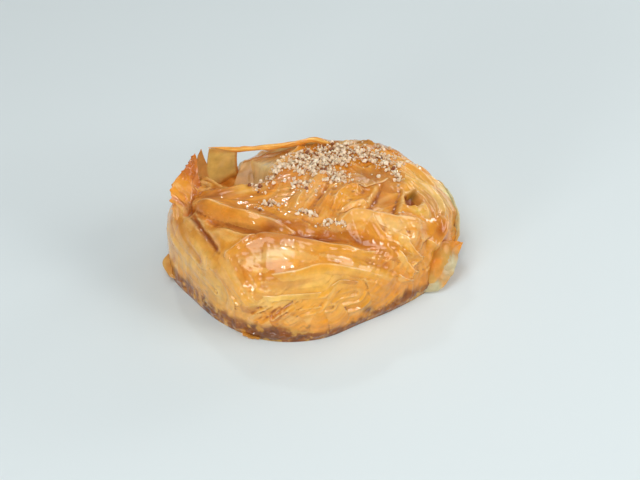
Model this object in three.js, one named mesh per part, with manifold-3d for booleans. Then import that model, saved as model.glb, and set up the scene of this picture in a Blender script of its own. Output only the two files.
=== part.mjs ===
// A syrup-soaked phyllo parcel with chopped nuts on top, as one fused solid.
// Units are millimetres and +Z is up. The parcel rests on its flat underside at Z = 0,
// and it is seen from the front along +Y.
//
// Every place on the crust is given on a map of it, as [east, north]: 0 is the crown,
// 100 from the crown is the shoulder and 200 is the outline on the table.

import * as THREE from 'three';
import Module from 'manifold-3d';

const wasm = await Module();
wasm.setup();

// ---------------------------------------------------------------- driving dimensions

const CROWN = { x: 4, y: 4, z: 39 }; // top of the plain parcel, before its folds
const MAP_SIZE = 200; // map distance from the crown to the outline
// Reach of the outline from the middle, and how boxy the side is, every 22.5 degrees
// anticlockwise from the right-hand side.
const REACH = [58, 58.5, 57.5, 53, 50.5, 52, 55, 59.5, 61.8, 55.5, 54.2, 53.7, 50, 44.5, 45.5, 51];
const BOXINESS = [3.2, 3.3, 3.4, 3.6, 3.8, 4, 4.3, 4.8, 4.9, 4.6, 4.3, 3.9, 3.4, 2.9, 2.8, 2.9];
const MIDDLE = { x: -1.56, y: 0.61 }; // middle of the finished parcel's box
const FOOT_HEIGHT = 3; // the folds fade out over this height above the table

const CRUST_CELLS = 48; // grid cells across the crust
const SHARP_TIP = 1; // a fold with a smaller tip than this has a crisp crest,
const LONG_PATH = 5; // if its path has this many points or more
const LEAST_WIDTH = 2.4; // about one grid cell, the steepest fall that the grid can show
const SHARED_HEIGHT = 2.5; // power with which folds that meet share their height
const FOLD_END = { least: 0.25, over: 0.18 }; // height and share of the path of a fold's end
const SHEET_THICKNESS = 1.4; // a few stacked phyllo leaves
const ROLL_RADIUS = 1.3; // rolled edge of the raised rim

const SEED = 20417;
const PHYLLO = { color: 0xd9963f, roughness: 0.25, metalness: 0 };

// ---------------------------------------------------------------- folds of the crust

// path on the map, height over the crust (a valley is negative), how far the fold runs
// out to the left and to the right of its path, radius of its tip, and the power of its
// fall: 1 is a sharp crease with hollow sides, 2 and more is a round bulge.
const FOLDS = [
  { name: 'first pleat', height: 4.2, left: 2.6, right: 6, tip: 0.4, power: 1,
    path: [[-93, -2], [-83, -15], [-73, -29], [-62, -39], [-46, -50], [-31, -60], [-18, -66]] },
  { name: 'valley under it', height: -2.8, left: 3, right: 3.5, tip: 1.2, power: 1.3,
    path: [[-92, -21], [-84, -34], [-68, -46], [-48, -56], [-24, -66], [0, -76], [30, -85]] },
  { name: 'second pleat', height: 4.8, left: 2.6, right: 9, tip: 0.4, power: 1,
    path: [[-94, -35], [-82, -46], [-68, -59], [-57, -66], [-44, -68], [-30, -73], [0, -86],
      [22, -92], [48, -95], [84, -84]] },
  { name: 'corner pleat', height: 3.6, left: 3.5, right: 4.5, tip: 0.4, power: 1,
    path: [[-50, -68], [-60, -70], [-70, -73], [-81, -75]] },
  { name: 'corner valley', height: -2.2, left: 2, right: 2.5, tip: 0.8, power: 1,
    path: [[-98, -17], [-97, -36], [-91, -54], [-85, -68]] },
  { name: 'corner edge', height: 2.4, left: 7, right: 7, tip: 2, power: 1.3,
    path: [[-82, -73], [-75, -96], [-70, -110], [-62, -133]] },
  { name: 'face bulge', height: 2, left: 12, right: 12, tip: 2, power: 2,
    path: [[-50, -88], [-15, -96]] },
  { name: 'face crease', height: 1.6, left: 2.2, right: 4, tip: 0.4, power: 1,
    path: [[-20, -82], [-3, -95], [8, -102], [19, -108]] },
  { name: 'apron edge', height: 3, left: 1.6, right: 11, tip: 0.4, power: 1.2,
    path: [[-50, -102], [-24, -105], [-2, -104], [14, -107], [36, -112], [64, -113], [90, -111],
      [113, -106]] },
  { name: 'apron crest', height: 1.6, left: 1.6, right: 3.5, tip: 0.4, power: 1,
    path: [[-59, -121], [-38, -125], [-12, -129], [6, -132], [20, -124], [35, -126], [53, -127]] },
  { name: 'apron tuck', height: 1.4, left: 2, right: 2, tip: 0.4, power: 1,
    path: [[18, -127], [13, -135], [8, -147], [1, -155]] },
  { name: 'hub crease', height: -2.6, left: 2, right: 2, tip: 0.8, power: 1,
    path: [[-93, 10], [-98, -4], [-97, -16]] },
  { name: 'shelf', height: 3, left: 1.8, right: 4.5, tip: 0.5, power: 1,
    path: [[-91, 8], [-76, -2], [-63, -2], [-50, 3]] },
  { name: 'pocket', height: -13, left: 13, right: 13, tip: 6, power: 3,
    path: [[-86, 34], [-72, 48], [-56, 62]] },
  { name: 'pocket side', height: 3, left: 3, right: 6, tip: 0.6, power: 1,
    path: [[-10, 72], [-20, 53], [-31, 38], [-42, 28]] },
  { name: 'left fold', height: 4, left: 5, right: 3, tip: 1, power: 1,
    path: [[-104, 42], [-97, 24], [-93, 10]] },
  { name: 'first rib', height: 2.4, left: 3.5, right: 3.5, tip: 0.6, power: 1,
    path: [[-24, -38], [-15, -16], [-5, 3], [5, 24]] },
  { name: 'second rib', height: 2, left: 2.5, right: 2.5, tip: 0.5, power: 1,
    path: [[-4, -48], [7, -29], [16, -16]] },
  { name: 'third rib', height: 3.2, left: 4, right: 4, tip: 1.2, power: 1,
    path: [[14, -45], [24, -20], [31, -11], [43, -13]] },
  { name: 'roll of the right side', height: 5, left: 1.8, right: 10, tip: 0.8, power: 1.2,
    path: [[18, -65], [34, -57], [49, -51], [63, -48], [80, -44], [96, -37], [112, -28]] },
  { name: 'hollow behind the roll', height: -3.6, left: 7, right: 7, tip: 2, power: 2,
    path: [[50, -14], [64, -18], [80, -20]] },
  { name: 'edge of the wrap', height: 2.6, left: 1.4, right: 5, tip: 0.4, power: 1,
    path: [[120, -6], [130, -14], [135, -24], [134, -38], [140, -50]] },
  { name: 'outer band', height: 3.6, left: 2.5, right: 2.5, tip: 0.5, power: 1,
    path: [[46, 42], [72, 33], [95, 29], [115, 27], [136, 18], [155, 8]] },
  { name: 'middle band', height: 3.2, left: 2, right: 2, tip: 0.5, power: 1,
    path: [[60, 22], [80, 15], [98, 8], [114, 0], [128, -8]] },
  { name: 'inner band', height: 2.6, left: 2, right: 2, tip: 0.5, power: 1,
    path: [[66, 10], [84, -1], [97, -13], [110, -22]] },
  { name: 'hole between the bands', height: -5, left: 2.2, right: 2.2, tip: 0.8, power: 2,
    path: [[81, -2], [86, -9], [90, -16]] },
  { name: 'cleft over the flap', height: -4, left: 2.5, right: 2.5, tip: 0.8, power: 1.5,
    path: [[163, -60], [156, -47], [148, -36], [138, -30]] },
  { name: 'bed of the nuts', height: 2.6, left: 9, right: 9, tip: 2, power: 2,
    path: [[-40, 18], [-27, 38], [-1, 62], [28, 62], [59, 60], [79, 44]] },
];

// Pleats hang down the hidden back at even steps, each a little different.
const BACK_PLEATS = { first: 30, last: 165, count: 9, stray: 0.6, lean: 12, from: 92, to: 186,
  height: 2.2, least: 0.7, width: 3.2, farSide: 0.6 };

// ---------------------------------------------------------------- small helpers

function seededRandom(seed) {
  let state = seed;
  return () => {
    state = (state * 1664525 + 1013904223) % 4294967296;
    return state / 4294967296;
  };
}

function spline(a, b, c, d, t) {
  const square = t * t;
  const cube = square * t;
  return 0.5 * (2 * b + (c - a) * t + (2 * a - 5 * b + 4 * c - d) * square
    + (3 * b - a - 3 * c + d) * cube);
}

// A value given at even steps round the parcel, smooth in between.
function roundParcel(values, angle) {
  const count = values.length;
  const place = (angle / (2 * Math.PI)) * count + count;
  const step = Math.floor(place);
  const at = (offset) => values[(step + offset + count) % count];
  return spline(at(-1), at(0), at(1), at(2), place - step);
}

// A smooth curve through points of any size, at t from 0 to 1.
function curveAt(points, t) {
  const last = points.length - 1;
  const place = Math.min(Math.max(t, 0), 1) * last;
  const step = Math.min(Math.floor(place), last - 1);
  const past = points[0].map((value, axis) => 2 * value - points[1][axis]);
  const beyond = points[last].map((value, axis) => 2 * value - points[last - 1][axis]);
  const at = (index) => (index < 0 ? past : index > last ? beyond : points[index]);
  return points[0].map((_, axis) => spline(
    at(step - 1)[axis], at(step)[axis], at(step + 1)[axis], at(step + 2)[axis], place - step));
}

const smooth = (t) => {
  const clamped = Math.min(Math.max(t, 0), 1);
  return clamped * clamped * (3 - 2 * clamped);
};

// ---------------------------------------------------------------- the crust

// The plain parcel: a superellipse from the outline up over the shoulder to the crown.
function plainPoint(east, north) {
  const angle = Math.atan2(north, east);
  const out = Math.min(Math.hypot(east, north) / MAP_SIZE, 1);
  const climb = (Math.PI / 2) * (1 - out);
  const power = roundParcel(BOXINESS, angle);
  const across = Math.cos(climb);
  const upward = Math.sin(climb);
  const size = (across ** power + upward ** power) ** (-1 / power);
  const share = size * across;
  const reach = roundParcel(REACH, angle) * share;
  return new THREE.Vector3(
    reach * Math.cos(angle) + CROWN.x * (1 - share),
    reach * Math.sin(angle) + CROWN.y * (1 - share),
    CROWN.z * size * upward);
}

function plainNormal(east, north) {
  const step = 0.5;
  const alongEast = plainPoint(east + step, north).sub(plainPoint(east - step, north));
  const alongNorth = plainPoint(east, north + step).sub(plainPoint(east, north - step));
  return alongEast.cross(alongNorth).normalize();
}

function backPleats() {
  const random = seededRandom(SEED);
  const pleats = [];
  for (let i = 0; i < BACK_PLEATS.count; i += 1) {
    const step = (i + BACK_PLEATS.stray * (random() - 0.5)) / (BACK_PLEATS.count - 1);
    const turn = BACK_PLEATS.first + (BACK_PLEATS.last - BACK_PLEATS.first) * step;
    const lean = BACK_PLEATS.lean * (random() - 0.5);
    const path = [BACK_PLEATS.from, 0.5 * (BACK_PLEATS.from + BACK_PLEATS.to), BACK_PLEATS.to]
      .map((out, k) => {
        const angle = THREE.MathUtils.degToRad(turn + lean * (k - 1) * 0.5);
        return [out * Math.cos(angle), out * Math.sin(angle)];
      });
    const height = BACK_PLEATS.height * (BACK_PLEATS.least + 2 * (1 - BACK_PLEATS.least) * random());
    pleats.push({ name: 'back pleat', height, left: BACK_PLEATS.width,
      right: BACK_PLEATS.width * BACK_PLEATS.farSide, tip: 0.5, power: 1, path });
  }
  return pleats;
}

// Each fold with its path laid on the plain parcel.
const LAID_FOLDS = [...FOLDS, ...backPleats()].map((fold) => {
  const steps = fold.path.length * 8;
  const line = [];
  for (let i = 0; i <= steps; i += 1) {
    const [east, north] = curveAt(fold.path, i / steps);
    line.push(plainPoint(east, north));
  }
  return { ...fold, line };
});

// How far one fold lifts a point of the plain parcel.
function foldLift(fold, point, normal) {
  let best = Infinity;
  let bestSide = 0;
  let bestAlong = 0;
  const segment = new THREE.Vector3();
  const offset = new THREE.Vector3();
  for (let i = 0; i < fold.line.length - 1; i += 1) {
    segment.subVectors(fold.line[i + 1], fold.line[i]);
    offset.subVectors(point, fold.line[i]);
    const t = Math.min(Math.max(offset.dot(segment) / (segment.lengthSq() + 1e-9), 0), 1);
    offset.addScaledVector(segment, -t);
    const distance = offset.length();
    if (distance < best) {
      best = distance;
      const leftward = new THREE.Vector3().crossVectors(normal, segment).normalize();
      bestSide = offset.dot(leftward) / (distance + 1e-6);
      bestAlong = (i + t) / (fold.line.length - 1);
    }
  }
  const ownWidth = fold.right + (fold.left - fold.right) * smooth(0.5 + 0.5 * bestSide);
  const width = Math.max(ownWidth, LEAST_WIDTH);
  const away = Math.sqrt(best * best + fold.tip * fold.tip) - fold.tip;
  const inward = smooth(Math.min(bestAlong, 1 - bestAlong) / FOLD_END.over);
  const taper = FOLD_END.least + (1 - FOLD_END.least) * inward;
  return Math.abs(fold.height) * Math.exp(-((away / width) ** fold.power)) * taper;
}

// Folds that meet share their height instead of piling up.
function crustPoint(east, north) {
  const point = plainPoint(east, north);
  const normal = plainNormal(east, north);
  let raised = 0;
  let sunk = 0;
  for (const fold of LAID_FOLDS) {
    const lift = foldLift(fold, point, normal) ** SHARED_HEIGHT;
    if (fold.height > 0) raised += lift;
    else sunk += lift;
  }
  const lift = raised ** (1 / SHARED_HEIGHT) - sunk ** (1 / SHARED_HEIGHT);
  return point.addScaledVector(normal, lift * smooth(point.z / FOOT_HEIGHT));
}

// A square grid bent into a disc without crowding its middle.
function discPlace(i, j) {
  const a = (2 * i) / CRUST_CELLS - 1;
  const b = (2 * j) / CRUST_CELLS - 1;
  if (a === 0 && b === 0) return [0, 0];
  if (Math.abs(a) > Math.abs(b)) {
    const turn = (Math.PI / 4) * (b / a);
    return [MAP_SIZE * a * Math.cos(turn), MAP_SIZE * a * Math.sin(turn)];
  }
  const turn = Math.PI / 2 - (Math.PI / 4) * (a / b);
  return [MAP_SIZE * b * Math.cos(turn), MAP_SIZE * b * Math.sin(turn)];
}

// The other way round: where on the grid a place of the map is.
function gridPlace([east, north]) {
  const out = Math.hypot(east, north) / MAP_SIZE;
  const eastward = Math.abs(east) > Math.abs(north);
  const main = out * Math.sign(eastward ? east : north);
  const side = main * (4 / Math.PI) * Math.atan(eastward ? north / east : east / north);
  const [a, b] = eastward ? [main, side] : [side, main];
  return [((a + 1) * CRUST_CELLS) / 2, ((b + 1) * CRUST_CELLS) / 2];
}

// Where a sharp crest crosses a grid line, the nearest grid corner moves onto the crest, so
// that the crest comes out as an edge. Each moved corner is kept under its own name.
function crestCorners() {
  const corners = new Map();
  const stepsPerPoint = 24;
  const crisp = LAID_FOLDS.filter(({ tip, path }) => tip < SHARP_TIP && path.length >= LONG_PATH);
  for (const fold of crisp) {
    const steps = fold.path.length * stepsPerPoint;
    let before = gridPlace(curveAt(fold.path, 0));
    for (let k = 1; k <= steps; k += 1) {
      const after = gridPlace(curveAt(fold.path, k / steps));
      const eastward = Math.abs(after[0] - before[0]) > Math.abs(after[1] - before[1]);
      const [along, across] = eastward ? [0, 1] : [1, 0];
      const line = Math.floor(Math.max(after[along], before[along]));
      if (line > Math.min(after[along], before[along])) {
        const share = (line - before[along]) / (after[along] - before[along]);
        const crossing = before[across] + share * (after[across] - before[across]);
        const nearest = Math.round(crossing);
        const name = eastward ? `${line} ${nearest}` : `${nearest} ${line}`;
        if (!corners.has(name)) corners.set(name, eastward ? [line, crossing] : [crossing, line]);
      }
      before = after;
    }
  }
  return corners;
}

// A closed mesh as plain lists of vertices and triangles. Each grid cell is split along
// the diagonal that lies nearer to the true surface.
function crustBody() {
  const cells = CRUST_CELLS;
  const crest = crestCorners();
  const index = ([i, j]) => j * (cells + 1) + i;
  const places = [];
  const points = [];
  for (let j = 0; j <= cells; j += 1) {
    for (let i = 0; i <= cells; i += 1) {
      const onOutline = i === 0 || j === 0 || i === cells || j === cells;
      const place = onOutline ? [i, j] : crest.get(`${i} ${j}`) || [i, j];
      const point = crustPoint(...discPlace(...place));
      if (onOutline) point.z = 0;
      places.push(place);
      points.push(point);
    }
  }
  const triangles = [];
  for (let j = 0; j < cells; j += 1) {
    for (let i = 0; i < cells; i += 1) {
      const corners = [[i, j], [i + 1, j], [i + 1, j + 1], [i, j + 1]];
      const [a, b, c, d] = corners.map(index);
      const middle = [0, 1].map((axis) => 0.25
        * (places[a][axis] + places[b][axis] + places[c][axis] + places[d][axis]));
      const truth = crustPoint(...discPlace(...middle));
      const miss = (from, to) => points[from].clone().lerp(points[to], 0.5).distanceTo(truth);
      if (miss(a, c) < miss(b, d)) triangles.push(a, b, c, a, c, d);
      else triangles.push(a, b, d, b, c, d);
    }
  }
  const outline = [];
  for (let k = 0; k < cells; k += 1) outline.push(index([k, 0]));
  for (let k = 0; k < cells; k += 1) outline.push(index([cells, k]));
  for (let k = cells; k > 0; k -= 1) outline.push(index([k, cells]));
  for (let k = cells; k > 0; k -= 1) outline.push(index([0, k]));
  const centre = points.length;
  points.push(new THREE.Vector3(CROWN.x, CROWN.y, 0));
  outline.forEach((from, k) => {
    triangles.push(centre, outline[(k + 1) % outline.length], from);
  });
  return { vertices: points.flatMap((point) => point.toArray()), triangles };
}

// ---------------------------------------------------------------- loose sheets

// A leaf of phyllo between two curves, a foot on the parcel and a free edge. place(u, v)
// gives its middle surface, with u along the leaf and v from the foot to the free edge.
function leaf(place, alongCells, acrossCells, thickness) {
  const vertices = [];
  const triangles = [];
  const count = (alongCells + 1) * (acrossCells + 1);
  const step = 0.01;
  for (const side of [0.5, -0.5]) {
    for (let j = 0; j <= acrossCells; j += 1) {
      for (let i = 0; i <= alongCells; i += 1) {
        const u = i / alongCells;
        const v = j / acrossCells;
        const alongU = place(Math.min(u + step, 1), v).sub(place(Math.max(u - step, 0), v));
        const alongV = place(u, Math.min(v + step, 1)).sub(place(u, Math.max(v - step, 0)));
        const normal = alongU.cross(alongV).normalize();
        const point = place(u, v).addScaledVector(normal, side * thickness);
        vertices.push(point.x, point.y, Math.max(point.z, 0));
      }
    }
  }
  const index = (i, j, back) => j * (alongCells + 1) + i + (back ? count : 0);
  for (let j = 0; j < acrossCells; j += 1) {
    for (let i = 0; i < alongCells; i += 1) {
      const [a, b, c, d] = [index(i, j), index(i + 1, j), index(i + 1, j + 1), index(i, j + 1)];
      triangles.push(a, b, c, a, c, d);
      triangles.push(a + count, c + count, b + count, a + count, d + count, c + count);
    }
  }
  const rim = [];
  for (let i = 0; i < alongCells; i += 1) rim.push(index(i, 0));
  for (let j = 0; j < acrossCells; j += 1) rim.push(index(alongCells, j));
  for (let i = alongCells; i > 0; i -= 1) rim.push(index(i, acrossCells));
  for (let j = acrossCells; j > 0; j -= 1) rim.push(index(0, j));
  rim.forEach((from, k) => {
    const to = rim[(k + 1) % rim.length];
    triangles.push(from, from + count, to, to, from + count, to + count);
  });
  return { vertices, triangles };
}

// The middle surface between a foot curve and an edge curve, bulging outward between them.
function between(foot, edge, bulge) {
  return (u, v) => {
    const low = new THREE.Vector3(...curveAt(foot, u));
    const high = new THREE.Vector3(...curveAt(edge, u));
    const outward = new THREE.Vector3(low.x - CROWN.x, low.y - CROWN.y, 0).normalize();
    return low.lerp(high, v).addScaledVector(outward, bulge * Math.sin(Math.PI * v));
  };
}

// Raised rim round the back left. Its top says, as places along it and shares of its height,
// how much of it still stands: the left part has a torn notch, and the right part starts low
// beside a parting, which leaves a window under the rolled edge.
const RIM = {
  foot: [[-52, -8, 20], [-53, 3, 20], [-50, 14, 18], [-42.5, 25.5, 16], [-28, 35, 14], [-11.5, 38, 16],
    [1.5, 37.5, 22], [11, 35, 29]],
  edge: [[-60, -5, 36], [-58.7, 6, 39], [-53.5, 17, 41], [-45, 25, 44.5], [-30, 27, 43], [-12, 28, 43.5],
    [2, 28, 45.5], [11, 29, 40]],
  bulge: 2.5,
  left: { from: 0, to: 0.562, cells: 24, top: [[0, 0.35], [0.05, 0.75], [0.11, 0.96], [0.345, 0.97],
    [0.36, 0.86], [0.392, 0.86], [0.41, 1.02], [0.447, 0.68], [0.455, 0.97], [0.565, 0.97]] },
  right: { from: 0.578, to: 1, cells: 16, top: [[0.575, 0.45], [0.6, 0.58], [0.64, 0.68], [0.68, 0.84],
    [0.72, 0.97], [1, 1]] },
  roll: { from: 0.447, to: 0.96, rings: 16, sides: 6, endRings: 3, endRadius: 0.3, sunk: 0.9 },
};
// Sheet that falls from the rim's left edge in to the hub of the pleats: its foot on the map
// of the crust, and how far along the rim it reaches.
const LAP = { foot: [[-118, -24], [-100, -12], [-94, 6], [-88, 24], [-84, 38]], from: 0.02, to: 0.4,
  sunk: 0.8, drop: 6, bulge: -1.5 };
// Pale sheet that lies flat in the pocket behind the nuts.
const POCKET_SHEET = {
  foot: [[-36, 23, 25], [-27, 24, 26], [-17, 25.5, 28.5], [-9, 28, 35]],
  edge: [[-32, 32, 33], [-22, 33.5, 35.4], [-12, 33, 38], [-3, 31.5, 42]],
  bulge: 0.5,
};
// Pale outer leaf that stands off the right-hand side.
const OUTER_LEAF = {
  foot: [[39.5, 27.5, 14], [44, 22.5, 11], [48.5, 16, 8], [51.5, 10, 6], [53.5, 4.5, 5],
    [54.5, 0, 4.5], [54, -4, 5]],
  edge: [[47.5, 24, 27], [51.5, 21.5, 27.3], [55.5, 17, 27], [58.5, 12, 25.5], [60, 8, 23.5],
    [60.7, 2.5, 17.5], [61, -1, 14]],
  bulge: 0.8,
};
// Torn flap that hangs off the front right corner.
const FLAP = {
  foot: [[39, -22, 4], [41, -21, 7], [43, -19.5, 10], [45, -18, 13], [47, -16, 15.5],
    [49, -14.5, 17], [52, -12, 18], [56.5, -10, 17.3]],
  edge: [[40.7, -23.4, 0.6], [44.6, -23.2, 0.6], [49.4, -23, 0.7], [52.2, -22.2, 1.5],
    [55.3, -19.9, 4], [57.9, -16.7, 8], [59.6, -11.8, 12], [61.5, -9.4, 15.5]],
  bulge: 0.8,
};
const LEFT_FLAKE = {
  foot: [[-57, -10, 2], [-58, -4, 5], [-58, 3, 8]],
  edge: [[-62, -8, 3], [-65, -2, 6], [-61, 3, 8]],
  bulge: 0.3,
};
const FRONT_FLAKE = {
  foot: [[-31, -42, 1], [-25, -44, 1], [-19, -45, 1]],
  edge: [[-31, -47, 0.7], [-26, -49.5, 0.7], [-19, -48.5, 0.7]],
  bulge: 0,
};

const wholeRim = between(RIM.foot, RIM.edge, RIM.bulge);

// A value between pairs of [place, value], straight from one pair to the next.
function stepsBetween(pairs, place) {
  const next = Math.max(pairs.findIndex(([at]) => at >= place), 1);
  const [[from, low], [to, high]] = [pairs[next - 1], pairs[next]];
  return low + (high - low) * Math.min(Math.max((place - from) / (to - from), 0), 1);
}

function rimPart({ from, to, top }) {
  return (u, v) => {
    const along = from + (to - from) * u;
    return wholeRim(along, v * stepsBetween(top, along));
  };
}

function lapPlace() {
  const low = LAP.foot.map((place) => crustPoint(...place)
    .addScaledVector(plainNormal(...place), -LAP.sunk).toArray());
  const last = LAP.foot.length - 1;
  const high = LAP.foot.map((_, k) => curveAt(RIM.edge, LAP.from + ((LAP.to - LAP.from) * k) / last));
  high[0][2] -= LAP.drop;
  return between(low, high, LAP.bulge);
}

// The rim's rolled edge, a tube just under its top line that narrows to both ends.
function rimRoll() {
  const { from, to, rings, sides, endRings, endRadius, sunk } = RIM.roll;
  const vertices = [];
  const triangles = [];
  for (let i = 0; i <= rings; i += 1) {
    const u = from + ((to - from) * i) / rings;
    const centre = wholeRim(u, 1);
    const ahead = wholeRim(u + 0.01, 1).sub(centre).normalize();
    const sideways = new THREE.Vector3(0, 0, 1).cross(ahead).normalize();
    const upward = ahead.clone().cross(sideways);
    const swell = smooth(Math.min(i, rings - i) / endRings);
    const radius = ROLL_RADIUS * (endRadius + (1 - endRadius) * swell);
    centre.addScaledVector(upward, -sunk * radius);
    for (let k = 0; k < sides; k += 1) {
      const angle = (2 * Math.PI * k) / sides;
      const point = centre.clone()
        .addScaledVector(sideways, radius * Math.cos(angle))
        .addScaledVector(upward, radius * Math.sin(angle));
      vertices.push(point.x, point.y, point.z);
    }
  }
  for (let i = 0; i < rings; i += 1) {
    for (let k = 0; k < sides; k += 1) {
      const [a, b] = [i * sides + k, i * sides + ((k + 1) % sides)];
      triangles.push(a, b, b + sides, a, b + sides, a + sides);
    }
  }
  const lastRing = rings * sides;
  for (let k = 1; k < sides - 1; k += 1) {
    triangles.push(0, k + 1, k, lastRing, lastRing + k, lastRing + k + 1);
  }
  return { vertices, triangles };
}

// ---------------------------------------------------------------- chopped nuts

// Trails of nuts on the map: a path, how far the grains stray from it, and how many.
const NUT_TRAILS = [
  { count: 36, stray: 7, path: [[-40, 2], [-32, 20], [-22, 36], [-4, 48], [14, 56], [34, 60],
    [58, 56], [72, 46], [80, 42]] },
  { count: 12, stray: 10, path: [[-14, 30], [0, 36], [12, 40]] },
  { count: 8, stray: 5, path: [[4, 32], [10, 12], [15, 0], [11, -12]] },
  { count: 6, stray: 5, path: [[-38, 6], [-46, -8], [-56, -16]] },
  { count: 4, stray: 4, path: [[-12, -38], [-4, -44], [2, -50]] },
  { count: 4, stray: 3, path: [[6, -58], [18, -62], [28, -64]] },
  { count: 3, stray: 3, path: [[56, 24], [60, 14], [62, 8]] },
];
const NUT = { smallest: 1.1, largest: 1.9, raised: 0.35, strayShare: 1.4, turns: 6 };
// Least length, width and height of a grain in radii, and how much longer each may be.
const NUT_SHAPE = { least: [0.8, 0.8, 0.65], more: [0.5, 0.4, 0.3] };

function nutGrains() {
  const random = seededRandom(SEED + 1);
  const grains = [];
  for (const trail of NUT_TRAILS) {
    for (let i = 0; i < trail.count; i += 1) {
      const [east, north] = curveAt(trail.path, (i + random()) / trail.count);
      const aside = () => random() + random() + random() - 1.5;
      const stray = () => trail.stray * NUT.strayShare * aside();
      const place = [east + stray(), north + stray()];
      const radius = NUT.smallest + (NUT.largest - NUT.smallest) * random() ** 1.5;
      const grain = new THREE.IcosahedronGeometry(radius, 0);
      grain.scale(...NUT_SHAPE.least.map((least, axis) => least + NUT_SHAPE.more[axis] * random()));
      grain.rotateX(NUT.turns * random());
      grain.rotateZ(NUT.turns * random());
      const centre = crustPoint(...place).addScaledVector(plainNormal(...place), radius * NUT.raised);
      grain.translate(centre.x, centre.y, centre.z);
      grains.push(plainLists(grain));
    }
  }
  return grains;
}

// A three.js geometry with its shared corners merged, as plain lists.
function plainLists(geometry) {
  const position = geometry.getAttribute('position');
  const vertices = [];
  const triangles = [];
  const known = new Map();
  for (let i = 0; i < position.count; i += 1) {
    const corner = [position.getX(i), position.getY(i), position.getZ(i)];
    const key = corner.map((value) => value.toFixed(3)).join(' ');
    if (!known.has(key)) {
      known.set(key, known.size);
      vertices.push(...corner);
    }
    triangles.push(known.get(key));
  }
  return { vertices, triangles };
}

// ---------------------------------------------------------------- joining

function toSolid({ vertices, triangles }) {
  return new wasm.Manifold(new wasm.Mesh({
    numProp: 3,
    vertProperties: new Float32Array(vertices),
    triVerts: new Uint32Array(triangles),
  }));
}

// The largest connected shell, without loose scraps and sealed bubbles.
function largestShell(solid) {
  const mesh = solid.getMesh();
  const parent = Array.from({ length: mesh.vertProperties.length / mesh.numProp }, (_, i) => i);
  const find = (i) => {
    let root = i;
    while (parent[root] !== root) root = parent[root];
    parent[i] = root;
    return root;
  };
  for (let t = 0; t < mesh.triVerts.length; t += 3) {
    parent[find(mesh.triVerts[t])] = find(mesh.triVerts[t + 1]);
    parent[find(mesh.triVerts[t + 1])] = find(mesh.triVerts[t + 2]);
  }
  const sizes = new Map();
  for (let t = 0; t < mesh.triVerts.length; t += 3) {
    const root = find(mesh.triVerts[t]);
    sizes.set(root, (sizes.get(root) || 0) + 1);
  }
  const [main] = [...sizes.entries()].sort((a, b) => b[1] - a[1])[0];
  const indices = [];
  for (let t = 0; t < mesh.triVerts.length; t += 3) {
    if (find(mesh.triVerts[t]) === main) {
      indices.push(mesh.triVerts[t], mesh.triVerts[t + 1], mesh.triVerts[t + 2]);
    }
  }
  const positions = new Float32Array((mesh.vertProperties.length / mesh.numProp) * 3);
  for (let i = 0; i < positions.length / 3; i += 1) {
    for (let axis = 0; axis < 3; axis += 1) {
      positions[3 * i + axis] = mesh.vertProperties[mesh.numProp * i + axis];
    }
  }
  const geometry = new THREE.BufferGeometry();
  geometry.setAttribute('position', new THREE.BufferAttribute(positions, 3));
  geometry.setIndex(indices);
  return geometry;
}

const sheetSolid = (place, alongCells, acrossCells) => toSolid(
  leaf(place, alongCells, acrossCells, SHEET_THICKNESS));
const leafSolid = ({ foot, edge, bulge }, alongCells, acrossCells) => sheetSolid(
  between(foot, edge, bulge), alongCells, acrossCells);

let pastry = toSolid(crustBody())
  .add(sheetSolid(rimPart(RIM.left), RIM.left.cells, 4))
  .add(sheetSolid(rimPart(RIM.right), RIM.right.cells, 4))
  .add(toSolid(rimRoll()))
  .add(sheetSolid(lapPlace(), 11, 4))
  .add(leafSolid(POCKET_SHEET, 8, 4))
  .add(leafSolid(OUTER_LEAF, 14, 4))
  .add(leafSolid(FLAP, 12, 5))
  .add(leafSolid(LEFT_FLAKE, 6, 3))
  .add(leafSolid(FRONT_FLAKE, 6, 3));
for (const grain of nutGrains()) pastry = pastry.add(toSolid(grain));

const geometry = largestShell(pastry);
geometry.translate(-MIDDLE.x, -MIDDLE.y, 0);
geometry.computeVertexNormals();

const mesh = new THREE.Mesh(geometry, new THREE.MeshStandardMaterial({ ...PHYLLO, flatShading: true }));
mesh.name = 'pastry';

const group = new THREE.Group();
group.add(mesh);

export default group;
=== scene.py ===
# A syrup-soaked phyllo parcel with chopped nuts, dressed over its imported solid.
# The shape is worked out in millimetres, with the same named values as the solid, and
# becomes metres when a mesh is made. Places on the crust are [east, north] on a map of it:
# 0 is the crown, 100 from the crown is the shoulder and 200 the outline on the table.

import math

import bpy
import numpy as np
from mathutils import Euler, Matrix, Vector


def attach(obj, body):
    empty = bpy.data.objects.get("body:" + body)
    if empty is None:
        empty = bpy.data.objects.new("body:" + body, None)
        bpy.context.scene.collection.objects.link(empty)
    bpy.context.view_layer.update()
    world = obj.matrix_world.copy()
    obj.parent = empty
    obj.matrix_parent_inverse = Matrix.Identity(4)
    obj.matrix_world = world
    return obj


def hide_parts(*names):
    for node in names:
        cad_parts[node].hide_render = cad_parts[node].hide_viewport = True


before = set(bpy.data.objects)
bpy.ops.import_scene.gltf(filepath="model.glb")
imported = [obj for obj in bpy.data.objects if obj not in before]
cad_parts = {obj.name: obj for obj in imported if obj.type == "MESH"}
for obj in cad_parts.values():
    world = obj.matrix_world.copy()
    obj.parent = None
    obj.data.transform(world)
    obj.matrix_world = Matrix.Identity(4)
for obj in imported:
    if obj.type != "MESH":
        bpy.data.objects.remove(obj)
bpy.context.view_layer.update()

MM = 0.001
BODY = "root"
NODE = "pastry"

# ------------------------------------------------------------- driving dimensions, mm

CROWN = np.array([4.0, 4.0, 39.0])
MAP_SIZE = 200.0
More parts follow.
